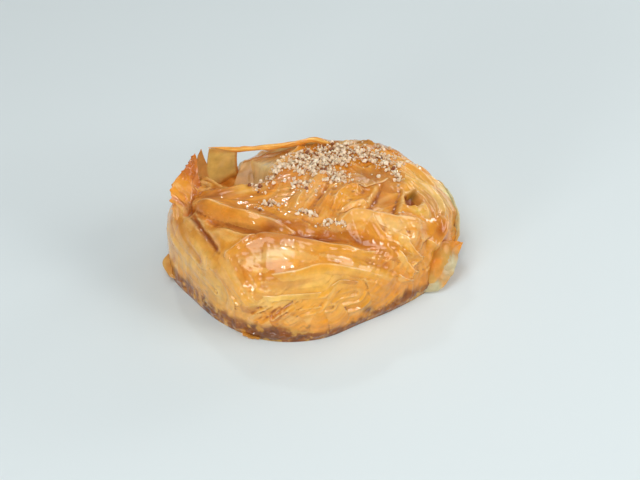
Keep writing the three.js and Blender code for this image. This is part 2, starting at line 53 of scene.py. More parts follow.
# At even steps round the parcel from the east: how far it reaches, and how square its
# profile is.
REACH = [58, 58.5, 57.5, 53, 50.5, 52, 55, 59.5, 61.8, 55.5, 54.2, 53.7, 50, 44.5, 45.5, 51]
BOXINESS = [3.2, 3.3, 3.4, 3.6, 3.8, 4, 4.3, 4.8, 4.9, 4.6, 4.3, 3.9, 3.4, 2.9, 2.8, 2.9]
MIDDLE = np.array([-1.56, 0.61, 0.0])
FOOT_HEIGHT = 3.0
# How far from a fold the wrinkles still follow it, and the power from which a fold is too
# round to lead them.
FLOW_REACH = 14.0
ROUND_POWER = 1.8
# Keeps the noise of one fold apart from the next one's.
FOLD_SPACING = 3.7

CRUST_CELLS = 310
# How far from the grid's back edge its cells begin to widen, and their pace before that.
BACK_SHARE = 0.65
FRONT_PACE = 0.82
LEAF_THICKNESS = 0.35
ROLL_RADIUS = 1.15
SEED = 20417

# Name, height, reach to the left, reach to the right, tip radius, power, path on the map.
FOLDS = [
    ("first pleat", 4.2, 2.6, 6.0, 0.4, 1.0,
     [(-93, -2), (-83, -15), (-73, -29), (-62, -39), (-46, -50), (-31, -60), (-18, -66)]),
    ("valley under it", -2.8, 3.0, 3.5, 1.2, 1.3,
     [(-92, -21), (-84, -34), (-68, -46), (-48, -56), (-24, -66), (0, -76), (30, -85)]),
    ("second pleat", 4.8, 2.6, 9.0, 0.4, 1.0,
     [(-94, -35), (-82, -46), (-68, -59), (-57, -66), (-44, -68), (-30, -73), (0, -86), (22, -92),
      (48, -95), (84, -84)]),
    ("corner pleat", 3.6, 3.5, 4.5, 0.4, 1.0,
     [(-50, -68), (-60, -70), (-70, -73), (-81, -75)]),
    ("corner valley", -2.2, 2.0, 2.5, 0.8, 1.0,
     [(-98, -17), (-97, -36), (-91, -54), (-85, -68)]),
    ("corner edge", 2.4, 7.0, 7.0, 2.0, 1.3,
     [(-82, -73), (-75, -96), (-70, -110), (-62, -133)]),
    ("face bulge", 2.0, 12.0, 12.0, 2.0, 2.0,
     [(-50, -88), (-15, -96)]),
    ("face crease", 1.6, 2.2, 4.0, 0.4, 1.0,
     [(-20, -82), (-3, -95), (8, -102), (19, -108)]),
    ("apron edge", 3.0, 1.6, 11.0, 0.4, 1.2,
     [(-50, -102), (-24, -105), (-2, -104), (14, -107), (36, -112), (64, -113), (90, -111),
      (113, -106)]),
    ("apron crest", 1.6, 1.6, 3.5, 0.4, 1.0,
     [(-59, -121), (-38, -125), (-12, -129), (6, -132), (20, -124), (35, -126), (53, -127)]),
    ("apron tuck", 1.4, 2.0, 2.0, 0.4, 1.0,
     [(18, -127), (13, -135), (8, -147), (1, -155)]),
    ("hub crease", -2.6, 2.0, 2.0, 0.8, 1.0,
     [(-93, 10), (-98, -4), (-97, -16)]),
    ("shelf", 3.0, 1.8, 4.5, 0.5, 1.0,
     [(-91, 8), (-76, -2), (-63, -2), (-50, 3)]),
    ("pocket", -13.0, 13.0, 13.0, 6.0, 3.0,
     [(-86, 34), (-72, 48), (-56, 62)]),
    ("pocket side", 3.0, 3.0, 6.0, 0.6, 1.0,
     [(-10, 72), (-20, 53), (-31, 38), (-42, 28)]),
    ("left fold", 4.0, 5.0, 3.0, 1.0, 1.0,
     [(-104, 42), (-97, 24), (-93, 10)]),
    ("first rib", 2.4, 3.5, 3.5, 0.6, 1.0,
     [(-24, -38), (-15, -16), (-5, 3), (5, 24)]),
    ("second rib", 2.0, 2.5, 2.5, 0.5, 1.0,
     [(-4, -48), (7, -29), (16, -16)]),
    ("third rib", 3.2, 4.0, 4.0, 1.2, 1.0,
     [(14, -45), (24, -20), (31, -11), (43, -13)]),
    ("roll of the right side", 5.0, 1.8, 10.0, 0.8, 1.2,
     [(18, -65), (34, -57), (49, -51), (63, -48), (80, -44), (96, -37), (112, -28)]),
    ("hollow behind the roll", -3.6, 7.0, 7.0, 2.0, 2.0,
     [(50, -14), (64, -18), (80, -20)]),
    ("edge of the wrap", 2.6, 1.4, 5.0, 0.4, 1.0,
     [(120, -6), (130, -14), (135, -24), (134, -38), (140, -50)]),
    ("outer band", 3.6, 2.5, 2.5, 0.5, 1.0,
     [(46, 42), (72, 33), (95, 29), (115, 27), (136, 18), (155, 8)]),
    ("middle band", 3.2, 2.0, 2.0, 0.5, 1.0,
     [(60, 22), (80, 15), (98, 8), (114, 0), (128, -8)]),
    ("inner band", 2.6, 2.0, 2.0, 0.5, 1.0,
     [(66, 10), (84, -1), (97, -13), (110, -22)]),
    ("hole between the bands", -5.0, 2.2, 2.2, 0.8, 2.0,
     [(81, -2), (86, -9), (90, -16)]),
    ("cleft over the flap", -4.0, 2.5, 2.5, 0.8, 1.5,
     [(163, -60), (156, -47), (148, -36), (138, -30)]),
    ("bed of the nuts", 2.6, 9.0, 9.0, 2.0, 2.0,
     [(-40, 18), (-27, 38), (-1, 62), (28, 62), (59, 60), (79, 44)]),
]

# Places on the map that the wrinkles of the top and of the bands fan out from.
HUB = (-104.0, -6.0)
BAND_PIVOT = (34.0, 46.0)
# Patches of the map with wrinkles of their own: centre, then half width and half height.
RIB_PATCH = (10.0, -16.0, 34.0, 34.0)
BAND_PATCH = (104.0, 8.0, 40.0, 22.0)
FILM_PATCH = (-48.0, -142.0, 34.0, 18.0)
CRUMPLE_PATCH = (118.0, -82.0, 34.0, 30.0)
# The slope beside the pocket, pale leaves in shade: painted cream there as painted light, and spared
# most of the painted shade of the hollows.
LIT_POCKET_PATCH = (-50.0, 44.0, 22.0, 16.0)
# Smoother places: how much of the wrinkles is taken away, and the patch.
CALM_PATCHES = [
    (0.85, (44.0, 8.0, 20.0, 12.0)),
    (0.75, (68.0, -16.0, 15.0, 12.0)),
    (0.65, (-40.0, -95.0, 34.0, 15.0)),
]

# Width and length of the wrinkles on the ribs, of those beside a fold, of the finer ones
# there and of those in the film low on the front, with 1 for the third part.
RIB_GRAIN = [5.0, 26.0, 1]
BESIDE_GRAIN = [3.4, 22.0, 1]
FINER_GRAIN = [1.7, 10.0, 1]
FILM_GRAIN = [2.3, 7.5, 1]

# Smaller folds that only show up close: the same terms.
FINE_FOLDS = [
    ("rib crease", -1.0, 1.2, 1.2, 0.4, 1.0, [(-10, -40), (0, -20), (6, -4)]),
    ("fourth rib", 1.5, 2.0, 2.0, 0.4, 1.0, [(22, -52), (40, -34), (50, -24)]),
    ("fan one", 0.9, 1.4, 1.4, 0.3, 1.0, [(28, -50), (44, -36)]),
    ("fan two", 0.8, 1.2, 1.2, 0.3, 1.0, [(34, -50), (52, -34)]),
    ("roll dimple", -1.0, 2.0, 2.0, 0.6, 1.0, [(58, -40), (66, -52), (76, -60)]),
    ("roll streak", 0.9, 1.4, 2.0, 0.3, 1.0, [(70, -38), (84, -46), (94, -52)]),
    ("corner tuck", 1.1, 1.0, 1.8, 0.3, 1.0, [(-72, -79), (-68, -91), (-67, -102), (-65, -110)]),
    ("short highlight", 1.0, 1.2, 2.2, 0.3, 1.0, [(-67, -78), (-58, -80), (-48, -81)]),
    ("low wrinkle", 1.0, 1.6, 2.2, 0.4, 1.0, [(-28, -153), (-15, -150), (17, -152)]),
    ("wall line one", 0.8, 1.4, 2.4, 0.4, 1.0, [(-112, -12), (-118, -34), (-112, -62)]),
    ("wall line two", 0.7, 1.4, 2.4, 0.4, 1.0, [(-128, 0), (-134, -30), (-128, -64), (-112, -100)]),
    ("wall line three", 0.6, 1.4, 2.0, 0.4, 1.0, [(-106, 24), (-124, 8), (-148, -10)]),
    ("face streak", 0.6, 1.0, 1.6, 0.3, 1.0, [(-40, -86), (-22, -92), (-6, -96)]),
    ("lower streak", 0.7, 1.2, 1.8, 0.3, 1.0, [(-52, -112), (-24, -116), (4, -116)]),
    ("right streak", 0.7, 1.2, 1.8, 0.3, 1.0, [(40, -100), (64, -102), (86, -98)]),
    ("sweep one", 0.8, 1.6, 4.0, 0.3, 1.0, [(-58, -92), (-30, -97), (4, -97), (34, -103)]),
    ("sweep two", 0.7, 1.4, 3.0, 0.3, 1.0,
     [(-66, -128), (-40, -136), (-8, -142), (24, -140), (50, -138)]),
    ("sweep three", 0.7, 1.4, 3.0, 0.3, 1.0, [(30, -116), (62, -118), (96, -116), (120, -120)]),
    ("hub fold one", -1.1, 1.0, 1.4, 0.3, 1.0, [(-100, 2), (-92, -18), (-86, -36)]),
    ("hub fold two", -1.0, 1.0, 1.2, 0.3, 1.0, [(-103, -2), (-99, -22), (-95, -40)]),
    ("band layer one", 1.8, 1.0, 1.6, 0.3, 1.0,
     [(62, 33), (83, 28), (104, 21), (122, 18), (136, 13), (149, 8)]),
    ("band layer two", 1.4, 0.9, 1.4, 0.3, 1.0, [(54, 49), (78, 42), (102, 37), (124, 32), (146, 20)]),
    ("band layer three", 1.8, 0.9, 1.4, 0.3, 1.0, [(58, 33), (80, 23), (96, 8), (110, 0), (125, -7)]),
    ("band layer four", 1.8, 0.9, 1.4, 0.3, 1.0, [(72, 16), (85, 7), (97, 1), (108, -5), (118, -12)]),
    ("gap in the bands", -1.6, 1.0, 1.0, 0.4, 1.0, [(74, 22), (90, 13), (106, 7), (124, 2)]),
    ("gap beside it", -1.4, 0.9, 0.9, 0.4, 1.0, [(82, 34), (104, 28), (124, 24), (140, 16)]),
    ("roll swirl one", 0.8, 1.0, 1.4, 0.3, 1.0, [(64, -42), (72, -52), (84, -56), (88, -48)]),
    ("roll swirl two", 0.7, 0.9, 1.2, 0.3, 1.0, [(56, -44), (62, -54), (72, -62)]),
    ("fan three", 0.8, 1.2, 1.4, 0.3, 1.0, [(22, -46), (36, -30), (46, -22)]),
    ("fan four", 0.7, 1.0, 1.2, 0.3, 1.0, [(40, -52), (58, -38), (66, -30)]),
    ("hollow ray one", 0.8, 1.0, 1.2, 0.3, 1.0, [(60, -36), (68, -22), (78, -12)]),
    ("hollow ray two", 0.7, 1.0, 1.2, 0.3, 1.0, [(70, -36), (78, -24), (86, -16)]),
    ("start of the apron", 1.6, 2.0, 6.0, 0.4, 1.0, [(-66, -84), (-58, -91), (-46, -98)]),
    ("shelf crease", 0.8, 1.0, 1.6, 0.3, 1.0, [(-84, 2), (-66, 8), (-52, 12)]),
    ("film fold one", 1.0, 0.8, 1.8, 0.2, 1.0, [(-67, -132), (-60, -128), (-54, -124)]),
    ("film fold two", 1.1, 0.8, 1.8, 0.2, 1.0, [(-54, -148), (-48, -143), (-42, -139)]),
    ("film fold three", 1.0, 0.8, 1.8, 0.2, 1.0, [(-40, -160), (-33, -157), (-26, -153)]),
    ("film fold four", 1.0, 0.8, 1.8, 0.2, 1.0, [(-76, -153), (-69, -150), (-62, -147)]),
    ("film fold five", 1.0, 0.8, 1.8, 0.2, 1.0, [(-37, -144), (-31, -141), (-22, -138)]),
    ("film fold six", 0.9, 0.8, 1.8, 0.2, 1.0, [(-60, -141), (-52, -136), (-44, -131)]),
    ("lip of the pocket", -2.4, 4.0, 4.0, 2.0, 2.0, [(-92, 22), (-78, 22), (-62, 30), (-50, 40)]),
]


# ------------------------------------------------------------------ number helpers

def smooth(t):
    t = np.clip(t, 0.0, 1.0)
    return t * t * (3.0 - 2.0 * t)


def ramp(value, low, high):
    return smooth((np.asarray(value, float) - low) / (high - low))


def spline(a, b, c, d, t):
    return 0.5 * (2 * b + (c - a) * t + (2 * a - 5 * b + 4 * c - d) * t * t
                  + (3 * b - a - 3 * c + d) * t ** 3)


def stacked(*parts):
    """Vectors from their parts, each an array or one number."""
    return np.stack(np.broadcast_arrays(*parts), -1).astype(float)


def unit(vectors, least=0.0):
    """The same vectors with a length of 1; least keeps those without a length from failing."""
    return vectors / (np.linalg.norm(vectors, axis=-1, keepdims=True) + least)


def round_parcel(values, angle):
    """A value given at even steps round the parcel, smooth in between."""
    values = np.asarray(values, float)
    count = len(values)
    place = np.asarray(angle) / (2 * math.pi) * count
    step = np.floor(place).astype(int)
    a, b, c, d = (values[(step + k) % count] for k in (-1, 0, 1, 2))
    return spline(a, b, c, d, place - step)


def curve_at(points, t):
    """A smooth curve through points of any size, at each t from 0 to 1."""
    points = np.asarray(points, float)
    ends = np.vstack([2 * points[0] - points[1], points, 2 * points[-1] - points[-2]])
    last = len(points) - 1
    place = np.clip(np.asarray(t, float), 0, 1) * last
    step = np.minimum(place.astype(int), last - 1)
    rest = (place - step)[..., None]
    return spline(ends[step], ends[step + 1], ends[step + 2], ends[step + 3], rest)


def lattice(cell, seed):
    """An even pseudo-random value from 0 to 1 at each whole-number cell."""
    x, y, z = (cell[..., k].astype(np.int64) for k in range(3))
    mixed = (x * 73856093) ^ (y * 19349663) ^ (z * 83492791) ^ (seed * 49979687)
    mixed = (mixed ^ (mixed >> 13)) * 1274126177
    mixed = (mixed ^ (mixed >> 16)) & 0xFFFFFF
    return mixed / float(0xFFFFFF)


def noise(points, scale, seed):
    """Smooth noise from -1 to 1, with features about scale millimetres wide."""
    place = np.asarray(points, float) / scale + 17.3 * seed
    cell = np.floor(place).astype(np.int64)
    part = place - cell
    part = part * part * (3 - 2 * part)
    total = np.zeros(place.shape[:-1])
    for dx in (0, 1):
        for dy in (0, 1):
            for dz in (0, 1):
                weight = np.ones(place.shape[:-1])
                for axis, d in enumerate((dx, dy, dz)):
                    weight = weight * (part[..., axis] if d else 1 - part[..., axis])
                total += weight * lattice(cell + np.array([dx, dy, dz]), seed)
    return 2 * total - 1


def layered(points, scale, seed, layers=3):
    """Several sizes of noise together, from about -1 to 1."""
    total = np.zeros(np.asarray(points).shape[:-1])
    strength = 1.0
    for k in range(layers):
        total += strength * noise(points, scale / 2 ** k, seed + k)
        strength *= 0.5
    return total / 1.6


def ridged(points, scale, seed):
    """Thin crests, from 0 to 1, along the zero lines of the noise."""
    return 1 - np.minimum(1.0, np.abs(noise(points, scale, seed)) * 3.0)


def pulled(points, scale, seed):
    """Folds of a pulled film, from 0 to 1: round hollows between sharp crests."""
    return 1 - np.minimum(1.0, np.abs(noise(points, scale, seed)) * 1.5)


# ------------------------------------------------------------------ the crust's shape

def plain_point(east, north):
    east = np.asarray(east, float)
    north = np.asarray(north, float)
    angle = np.arctan2(north, east)
    out = np.minimum(np.hypot(east, north) / MAP_SIZE, 1)
    climb = math.pi / 2 * (1 - out)
    power = round_parcel(BOXINESS, angle)
    across = np.maximum(np.cos(climb), 0)
    upward = np.sin(climb)
    size = (across ** power + upward ** power) ** (-1 / power)
    share = size * across
    reach = round_parcel(REACH, angle) * share
    return stacked(reach * np.cos(angle) + CROWN[0] * (1 - share),
                   reach * np.sin(angle) + CROWN[1] * (1 - share),
                   CROWN[2] * size * upward)


def plain_normal(east, north):
    step = 0.5
    along_east = plain_point(east + step, north) - plain_point(east - step, north)
    along_north = plain_point(east, north + step) - plain_point(east, north - step)
    normal = np.cross(along_east, along_north)
    return unit(normal)


def seeded(seed):
    """The same plain generator as the solid's, one number from 0 to 1 a call."""
    state = [seed]

    def draw():
        state[0] = (state[0] * 1664525 + 1013904223) % 4294967296
        return state[0] / 4294967296

    return draw


# Directions in degrees from the east, distances on the map, height and width in millimetres.
BACK_PLEATS = dict(first=30, last=165, count=9, near=92, far=186, height=2.2, width=3.2)


def back_pleats():
    """Pleats hang down the hidden back at even steps, each a little different."""
    draw = seeded(SEED)
    pleats = []
    span = BACK_PLEATS["last"] - BACK_PLEATS["first"]
    near = BACK_PLEATS["near"]
    far = BACK_PLEATS["far"]
    outs = [near, 0.5 * (near + far), far]
    for i in range(BACK_PLEATS["count"]):
        step = (i + 0.6 * (draw() - 0.5)) / (BACK_PLEATS["count"] - 1)
        turn = BACK_PLEATS["first"] + span * step
        lean = 12 * (draw() - 0.5)
        path = []
        for k, out in enumerate(outs):
            angle = math.radians(turn + lean * (k - 1) * 0.5)
            path.append((out * math.cos(angle), out * math.sin(angle)))
        height = BACK_PLEATS["height"] * (0.7 + 0.6 * draw())
        width = BACK_PLEATS["width"]
        pleats.append(("back pleat", height, width, 0.6 * width, 0.5, 1.0, path))
    return pleats


def fold_lift(folds, points, normals):
    """How far the folds lift each point, and where it lies from the nearest fold: how far
    across, how far along and a number for the fold. Folds that meet share their height."""
    share = 2.5
    raised = np.zeros(len(points))
    sunk = np.zeros(len(points))
    nearest = np.full(len(points), FLOW_REACH)
    flow = np.zeros((len(points), 3))
    flow[:, 0] = FLOW_REACH
    for number, (_, height, left, right, tip, power, path) in enumerate(folds):
        line = curve_at(path, np.linspace(0, 1, len(path) * 8 + 1))
        line = plain_point(line[:, 0], line[:, 1])
        widest = max(left, right)
        span = widest * (6.0 if power < 1.4 else 3.0) + tip
        near = np.all((points > line.min(0) - span) & (points < line.max(0) + span), axis=1)
        chosen = np.nonzero(near)[0]
        if not len(chosen):
            continue
        here = points[chosen]
        facing = normals[chosen]
        best = np.full(len(chosen), np.inf)
        side = np.zeros(len(chosen))
        along = np.zeros(len(chosen))
        for k in range(len(line) - 1):
            segment = line[k + 1] - line[k]
            t = np.clip((here - line[k]) @ segment / (segment @ segment + 1e-9), 0, 1)
            offset = here - line[k] - t[:, None] * segment
            distance = np.einsum("ij,ij->i", offset, offset)
            closer = distance < best
            leftward = unit(np.cross(facing[closer], segment), 1e-9)
            best[closer] = distance[closer]
            side[closer] = np.einsum("ij,ij->i", offset[closer], leftward)
            along[closer] = (k + t[closer]) / (len(line) - 1)
        distance = np.sqrt(best)
        width = right + (left - right) * smooth(0.5 + 0.5 * side / (distance + 1e-6))
        away = np.sqrt(distance ** 2 + tip ** 2) - tip
        taper = 0.25 + 0.75 * smooth(np.minimum(along, 1 - along) / 0.18)
        lift = abs(height) * np.exp(-((away / width) ** power)) * taper
        target = raised if height > 0 else sunk
        target[chosen] += lift ** share
        if power < ROUND_POWER:
            length = np.linalg.norm(np.diff(line, axis=0), axis=1).sum()
            beside = distance < nearest[chosen]
            spot = chosen[beside]
            nearest[spot] = distance[beside]
            flow[spot] = stacked(distance[beside], along[beside] * length, FOLD_SPACING * number)
    return raised ** (1 / share) - sunk ** (1 / share), flow


ALL_FOLDS = FOLDS + FINE_FOLDS + back_pleats()


def blob(east, north, spot):
    """How much of a soft round patch of the map a place is in, from 0 to 1."""
    centre_east, centre_north, wide, high = spot
    return np.exp(-((east - centre_east) / wide) ** 2 - ((north - centre_north) / high) ** 2)


def away_from_front(east, north):
    """0 on the front face, 1 on the left wall and round the back."""
    return np.maximum(ramp(-east, 50, 100), ramp(north, -30, 20))


def wrinkle_lift(east, north, points, flow):
    """Small uneven wrinkles: they follow the folds, cross the ribs and hang down the walls."""
    out = np.hypot(east, north)
    wall = ramp(out, 92, 125)
    fan_turn = np.arctan2(north - HUB[1], east - HUB[0])
    fan_reach = np.hypot(east - HUB[0], north - HUB[1])
    fan = stacked(fan_turn * 15, fan_reach * 0.022, 0)
    across_ribs = east * 0.91 - north * 0.42
    along_ribs = east * 0.42 + north * 0.91
    rib = stacked(across_ribs, along_ribs, 0) / RIB_GRAIN
    band_turn = np.arctan2(north - BAND_PIVOT[1], east - BAND_PIVOT[0])
    band_reach = np.hypot(east - BAND_PIVOT[0], north - BAND_PIVOT[1])
    band = stacked(band_turn * 13, band_reach * 0.02, 0)
    hang = stacked(np.arctan2(north, east) * 16, points[:, 2] * 0.06, 0)
    lift = 0.40 * layered(points, 15, 3)
    lift += (1 - wall) * (0.22 * ridged(fan, 1.0, 11) + 0.10 * ridged(fan, 0.45, 12))
    fade = ramp(FLOW_REACH - flow[:, 0], 0, 6) * ramp(flow[:, 0], 0.4, 1.6)
    uneven = (0.65 + 0.7 * noise(points, 12, 13)) * (1 - 0.6 * ramp(-east, 95, 125))
    beside = 0.85 * pulled(flow / BESIDE_GRAIN, 1.0, 14) + 0.34 * pulled(flow / FINER_GRAIN, 1.0, 15)
    lift += fade * uneven * beside
    ribs = ridged(rib, 1.0, 21) + 0.4 * ridged(rib, 0.45, 22) - 0.5
    lift += 0.75 * blob(east, north, RIB_PATCH) * ribs
    lift += 1.1 * blob(east, north, BAND_PATCH) * (ridged(band, 1.0, 23) - 0.4)
    lift += wall * away_from_front(east, north) * 0.16 * ridged(hang, 1.0, 31)
    sloping = stacked(0.8 * points[:, 2] - 0.6 * points[:, 0],
                      0.6 * points[:, 2] + 0.8 * points[:, 0], 0) / FILM_GRAIN
    film = pulled(sloping, 1.0, 41) + 0.5 * pulled(sloping, 0.45, 42) - 0.5
    lift += 1.0 * blob(east, north, FILM_PATCH) * film
    lift += 0.30 * ramp(out, 100, 130) * film * ramp(-north, 20, 90)
    crumple = ridged(points, 5.5, 51) + 0.5 * ridged(points, 2.6, 52) - 0.4
    lift += 0.95 * blob(east, north, CRUMPLE_PATCH) * crumple
    foot = ramp(-points[:, 2], -8, -3)
    clots = 0.6 * noise(points, 3.2, 61) + 0.35 * noise(points, 1.5, 62)
    lift += foot * (clots + 0.35 * ridged(points, 2.6, 63))
    for calm, patch in CALM_PATCHES:
        lift *= 1 - calm * blob(east, north, patch)
    return lift + 0.05 * noise(points, 1.2, 71)


def crust_points(east, north):
    east = np.asarray(east, float)
    north = np.asarray(north, float)
    points = plain_point(east, north)
    normals = plain_normal(east, north)
    lift, flow = fold_lift(ALL_FOLDS, points, normals)
    lift += wrinkle_lift(east, north, points, flow)
    lift *= smooth(points[:, 2] / FOOT_HEIGHT)
    return points + normals * lift[:, None], normals, lift, flow


def disc_grid(cells):
    """A square grid bent into a disc without crowding its middle, finer toward the front."""
    line = np.linspace(-1, 1, cells + 1)
    past = np.maximum(line - 1 + BACK_SHARE, 0) / BACK_SHARE
    warped = -1 + FRONT_PACE * (line + 1) + 2 * (1 - FRONT_PACE) * past ** 2
    a, b = np.meshgrid(line, warped)
    wide = np.abs(a) > np.abs(b)
    radius = np.where(wide, a, b)
    safe_a = np.where(a == 0, 1, a)
    safe_b = np.where(b == 0, 1, b)
    turn = np.where(wide, math.pi / 4 * b / safe_a, math.pi / 2 - math.pi / 4 * a / safe_b)
    return (MAP_SIZE * radius * np.cos(turn)).ravel(), (MAP_SIZE * radius * np.sin(turn)).ravel()


def grid_faces(columns, rows):
    """Quads of a grid with that many cells each way, with rows of columns + 1 points."""
    i, j = np.meshgrid(np.arange(columns), np.arange(rows))
    start = (j * (columns + 1) + i).ravel()
    return np.stack([start, start + 1, start + columns + 2, start + columns + 1], -1)


def grid_rim(columns, rows):
    """Pairs of neighbouring points round the edge of that grid."""
    side = columns + 1
    rim = list(range(columns))
    rim += [k * side + columns for k in range(rows)]
    rim += [rows * side + columns - k for k in range(columns)]
    rim += [(rows - k) * side for k in range(rows)]
    return list(zip(rim, rim[1:] + rim[:1]))


def grid_blur(values, cells, times):
    field = values.reshape(cells + 1, cells + 1)
    for _ in range(times):
        padded = np.pad(field, 1, mode="edge")
        field = (padded[:-2, 1:-1] + padded[2:, 1:-1] + padded[1:-1, :-2] + padded[1:-1, 2:]
                 + 4 * padded[1:-1, 1:-1]) / 8
    return field.ravel()


# ------------------------------------------------------------------ making meshes

def srgb(red, green, blue):
    """A screen colour from 0 to 255 as the linear values that Blender wants."""
    channels = np.array([red, green, blue]) / 255
    return np.where(channels < 0.04045, channels / 12.92, ((channels + 0.055) / 1.055) ** 2.4)


def make_piece(name, points, faces, material, colours, flow=None):
    """A mesh object from points in millimetres, riding on the one body, smooth where it has a flow."""
    mesh = bpy.data.meshes.new(name)
    placed = (np.asarray(points) - MIDDLE) * MM
    mesh.from_pydata(placed.tolist(), [], faces)
    mesh.validate()
    mesh.update()
    layer = mesh.color_attributes.new("tone", "FLOAT_COLOR", "POINT")
    full = np.ones((len(points), 4))
    full[:, :3] = colours
    layer.data.foreach_set("color", full.ravel())
    if flow is None:
        mesh.shade_flat()
    else:
        mesh.shade_smooth()
        layer = mesh.attributes.new("flow", "FLOAT_VECTOR", "POINT")
        layer.data.foreach_set("vector", np.asarray(flow, float).ravel())
    piece = bpy.data.objects.new(name, mesh)
    bpy.context.scene.collection.objects.link(piece)
    mesh.materials.append(material)
    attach(piece, BODY)
    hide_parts(NODE)


def mix(low, high, share):
    return low + (high - low) * np.asarray(share)[..., None]


# ------------------------------------------------------------------ materials

def node_tree(name):
    material = bpy.data.materials.new(name)
    material.use_nodes = True
    tree = material.node_tree
    tree.nodes.clear()
    output = tree.nodes.new("ShaderNodeOutputMaterial")
    return material, tree, output


def link(tree, source, target):
    tree.links.new(source, target)


def new_node(tree, kind, **inputs):
    """A node with its inputs set; an input's name has _ for each space."""
    node = tree.nodes.new("ShaderNode" + kind)
    for name, value in inputs.items():
        node.inputs[name.replace("_", " ")].default_value = value
    return node


def noise_node(tree, scale, detail=4.0, rough=0.55):
    place = new_node(tree, "TexCoord")
    texture = new_node(tree, "TexNoise", Scale=scale, Detail=detail, Roughness=rough)
    link(tree, place.outputs["Object"], texture.inputs["Vector"])
    return texture


def spread(tree, source, low, high, to_low, to_high):
    node = new_node(tree, "MapRange", From_Min=low, From_Max=high, To_Min=to_low, To_Max=to_high)
    link(tree, source, node.inputs["Value"])
    return node.outputs["Result"]


def attribute(tree, name):
    node = new_node(tree, "Attribute")
    node.attribute_name = name
    return node


def toned_colour(tree, blotch_scale, blotch_strength):
    """The piece's own tone, with small lighter and darker blotches."""
    tone = attribute(tree, "tone")
    blotch = noise_node(tree, blotch_scale)
    strength = spread(tree, blotch.outputs["Fac"], 0.3, 0.7, 1 - blotch_strength, 1 + blotch_strength)
    scaled = new_node(tree, "VectorMath")
    scaled.operation = "SCALE"
    link(tree, tone.outputs["Color"], scaled.inputs[0])
    link(tree, strength, scaled.inputs["Scale"])
    return scaled.outputs["Vector"]


def flow_noise(tree, across, along):
    """Noise drawn out along the folds, with its width and length in millimetres."""
    flow = attribute(tree, "flow")
    scaled = new_node(tree, "VectorMath")
    scaled.operation = "MULTIPLY"
    scaled.inputs[1].default_value = (1 / across, 1 / along, 1)
    texture = new_node(tree, "TexNoise", Scale=1.0, Detail=4.0)
    link(tree, flow.outputs["Vector"], scaled.inputs[0])
    link(tree, scaled.outputs["Vector"], texture.inputs["Vector"])
    return texture


def relief(tree, texture, strength, depth):
    """Small relief of that depth in metres, from a noise texture."""
    bump = new_node(tree, "Bump", Strength=strength, Distance=depth)
    link(tree, texture.outputs["Fac"], bump.inputs["Height"])
    return bump


def blended(tree, surface, other, share):
    """Two surfaces mixed, with that share of the other."""
    blend = new_node(tree, "MixShader", Fac=share)
    link(tree, surface, blend.inputs[1])
    link(tree, other, blend.inputs[2])
    return blend.outputs["Shader"]


CLEAR_AMBER = (1.0, 0.84, 0.50, 1)
CLEAR_CREAM = (1.0, 0.95, 0.78, 1)


def phyllo_material(name, roughness, coat, bump, inside=0.0, glow=0.0, see_through=0.0,
                    clear=CLEAR_AMBER):
    """Thin baked leaves wet with syrup, with a glossy coat.

    inside is how much light spreads under the surface, glow how much comes through from
    behind, and see_through how much of what lies behind shows, tinted with clear."""
    material, tree, output = node_tree(name)
    shader = new_node(tree, "BsdfPrincipled", Subsurface_Weight=inside, Subsurface_Scale=0.0014,
                      Subsurface_Radius=(1.0, 0.45, 0.16), IOR=1.45, Specular_IOR_Level=0.20,
                      Coat_Weight=coat, Coat_Roughness=0.04, Coat_IOR=1.5)
    colour = toned_colour(tree, 260, 0.12)
    link(tree, colour, shader.inputs["Base Color"])
    patches = noise_node(tree, 120, 3)
    rough = spread(tree, patches.outputs["Fac"], 0.35, 0.65, roughness * 0.7, roughness * 1.4)
    link(tree, rough, shader.inputs["Roughness"])
    drawn_out = relief(tree, flow_noise(tree, 0.9, 7), bump, 0.0006)
    fine = relief(tree, noise_node(tree, 520, 5, 0.6), 0.5 * bump, 0.0004)
    link(tree, drawn_out.outputs["Normal"], fine.inputs["Normal"])
    link(tree, fine.outputs["Normal"], shader.inputs["Normal"])
    surface = shader.outputs["BSDF"]
    if glow > 0:
        through = new_node(tree, "BsdfTranslucent")
        link(tree, colour, through.inputs["Color"])
        surface = blended(tree, surface, through.outputs["BSDF"], glow)
    if see_through > 0:
        window = new_node(tree, "BsdfTransparent", Color=clear)
        surface = blended(tree, surface, window.outputs["BSDF"], see_through)
    link(tree, surface, output.inputs["Surface"])
    return material


def nut_material(name):
    material, tree, output = node_tree(name)
    shader = new_node(tree, "BsdfPrincipled", Roughness=0.6, Subsurface_Weight=0.25,
                      Subsurface_Radius=(1.0, 0.7, 0.4), Subsurface_Scale=0.0008)
    link(tree, toned_colour(tree, 900, 0.16), shader.inputs["Base Color"])
    fine = relief(tree, noise_node(tree, 2600, 4), 0.5, 0.0002)
    link(tree, fine.outputs["Normal"], shader.inputs["Normal"])
    link(tree, shader.outputs["BSDF"], output.inputs["Surface"])
    return material


CRUST = phyllo_material("phyllo_crust", roughness=0.34, coat=1.0, bump=0.34, inside=0.15)
LEAF = phyllo_material("phyllo_leaf", roughness=0.32, coat=0.9, bump=0.3, glow=0.45,
                       see_through=0.3)
PALE_LEAF = phyllo_material("phyllo_pale_leaf", roughness=0.34, coat=0.8, bump=0.25, glow=0.45,
                            see_through=0.25, clear=CLEAR_CREAM)
RIM_LEAF = phyllo_material("phyllo_rim_leaf", roughness=0.34, coat=0.8, bump=0.25, glow=0.45,
                           see_through=0.45)
NUT = nut_material("chopped_nut")

# ------------------------------------------------------------------ tones

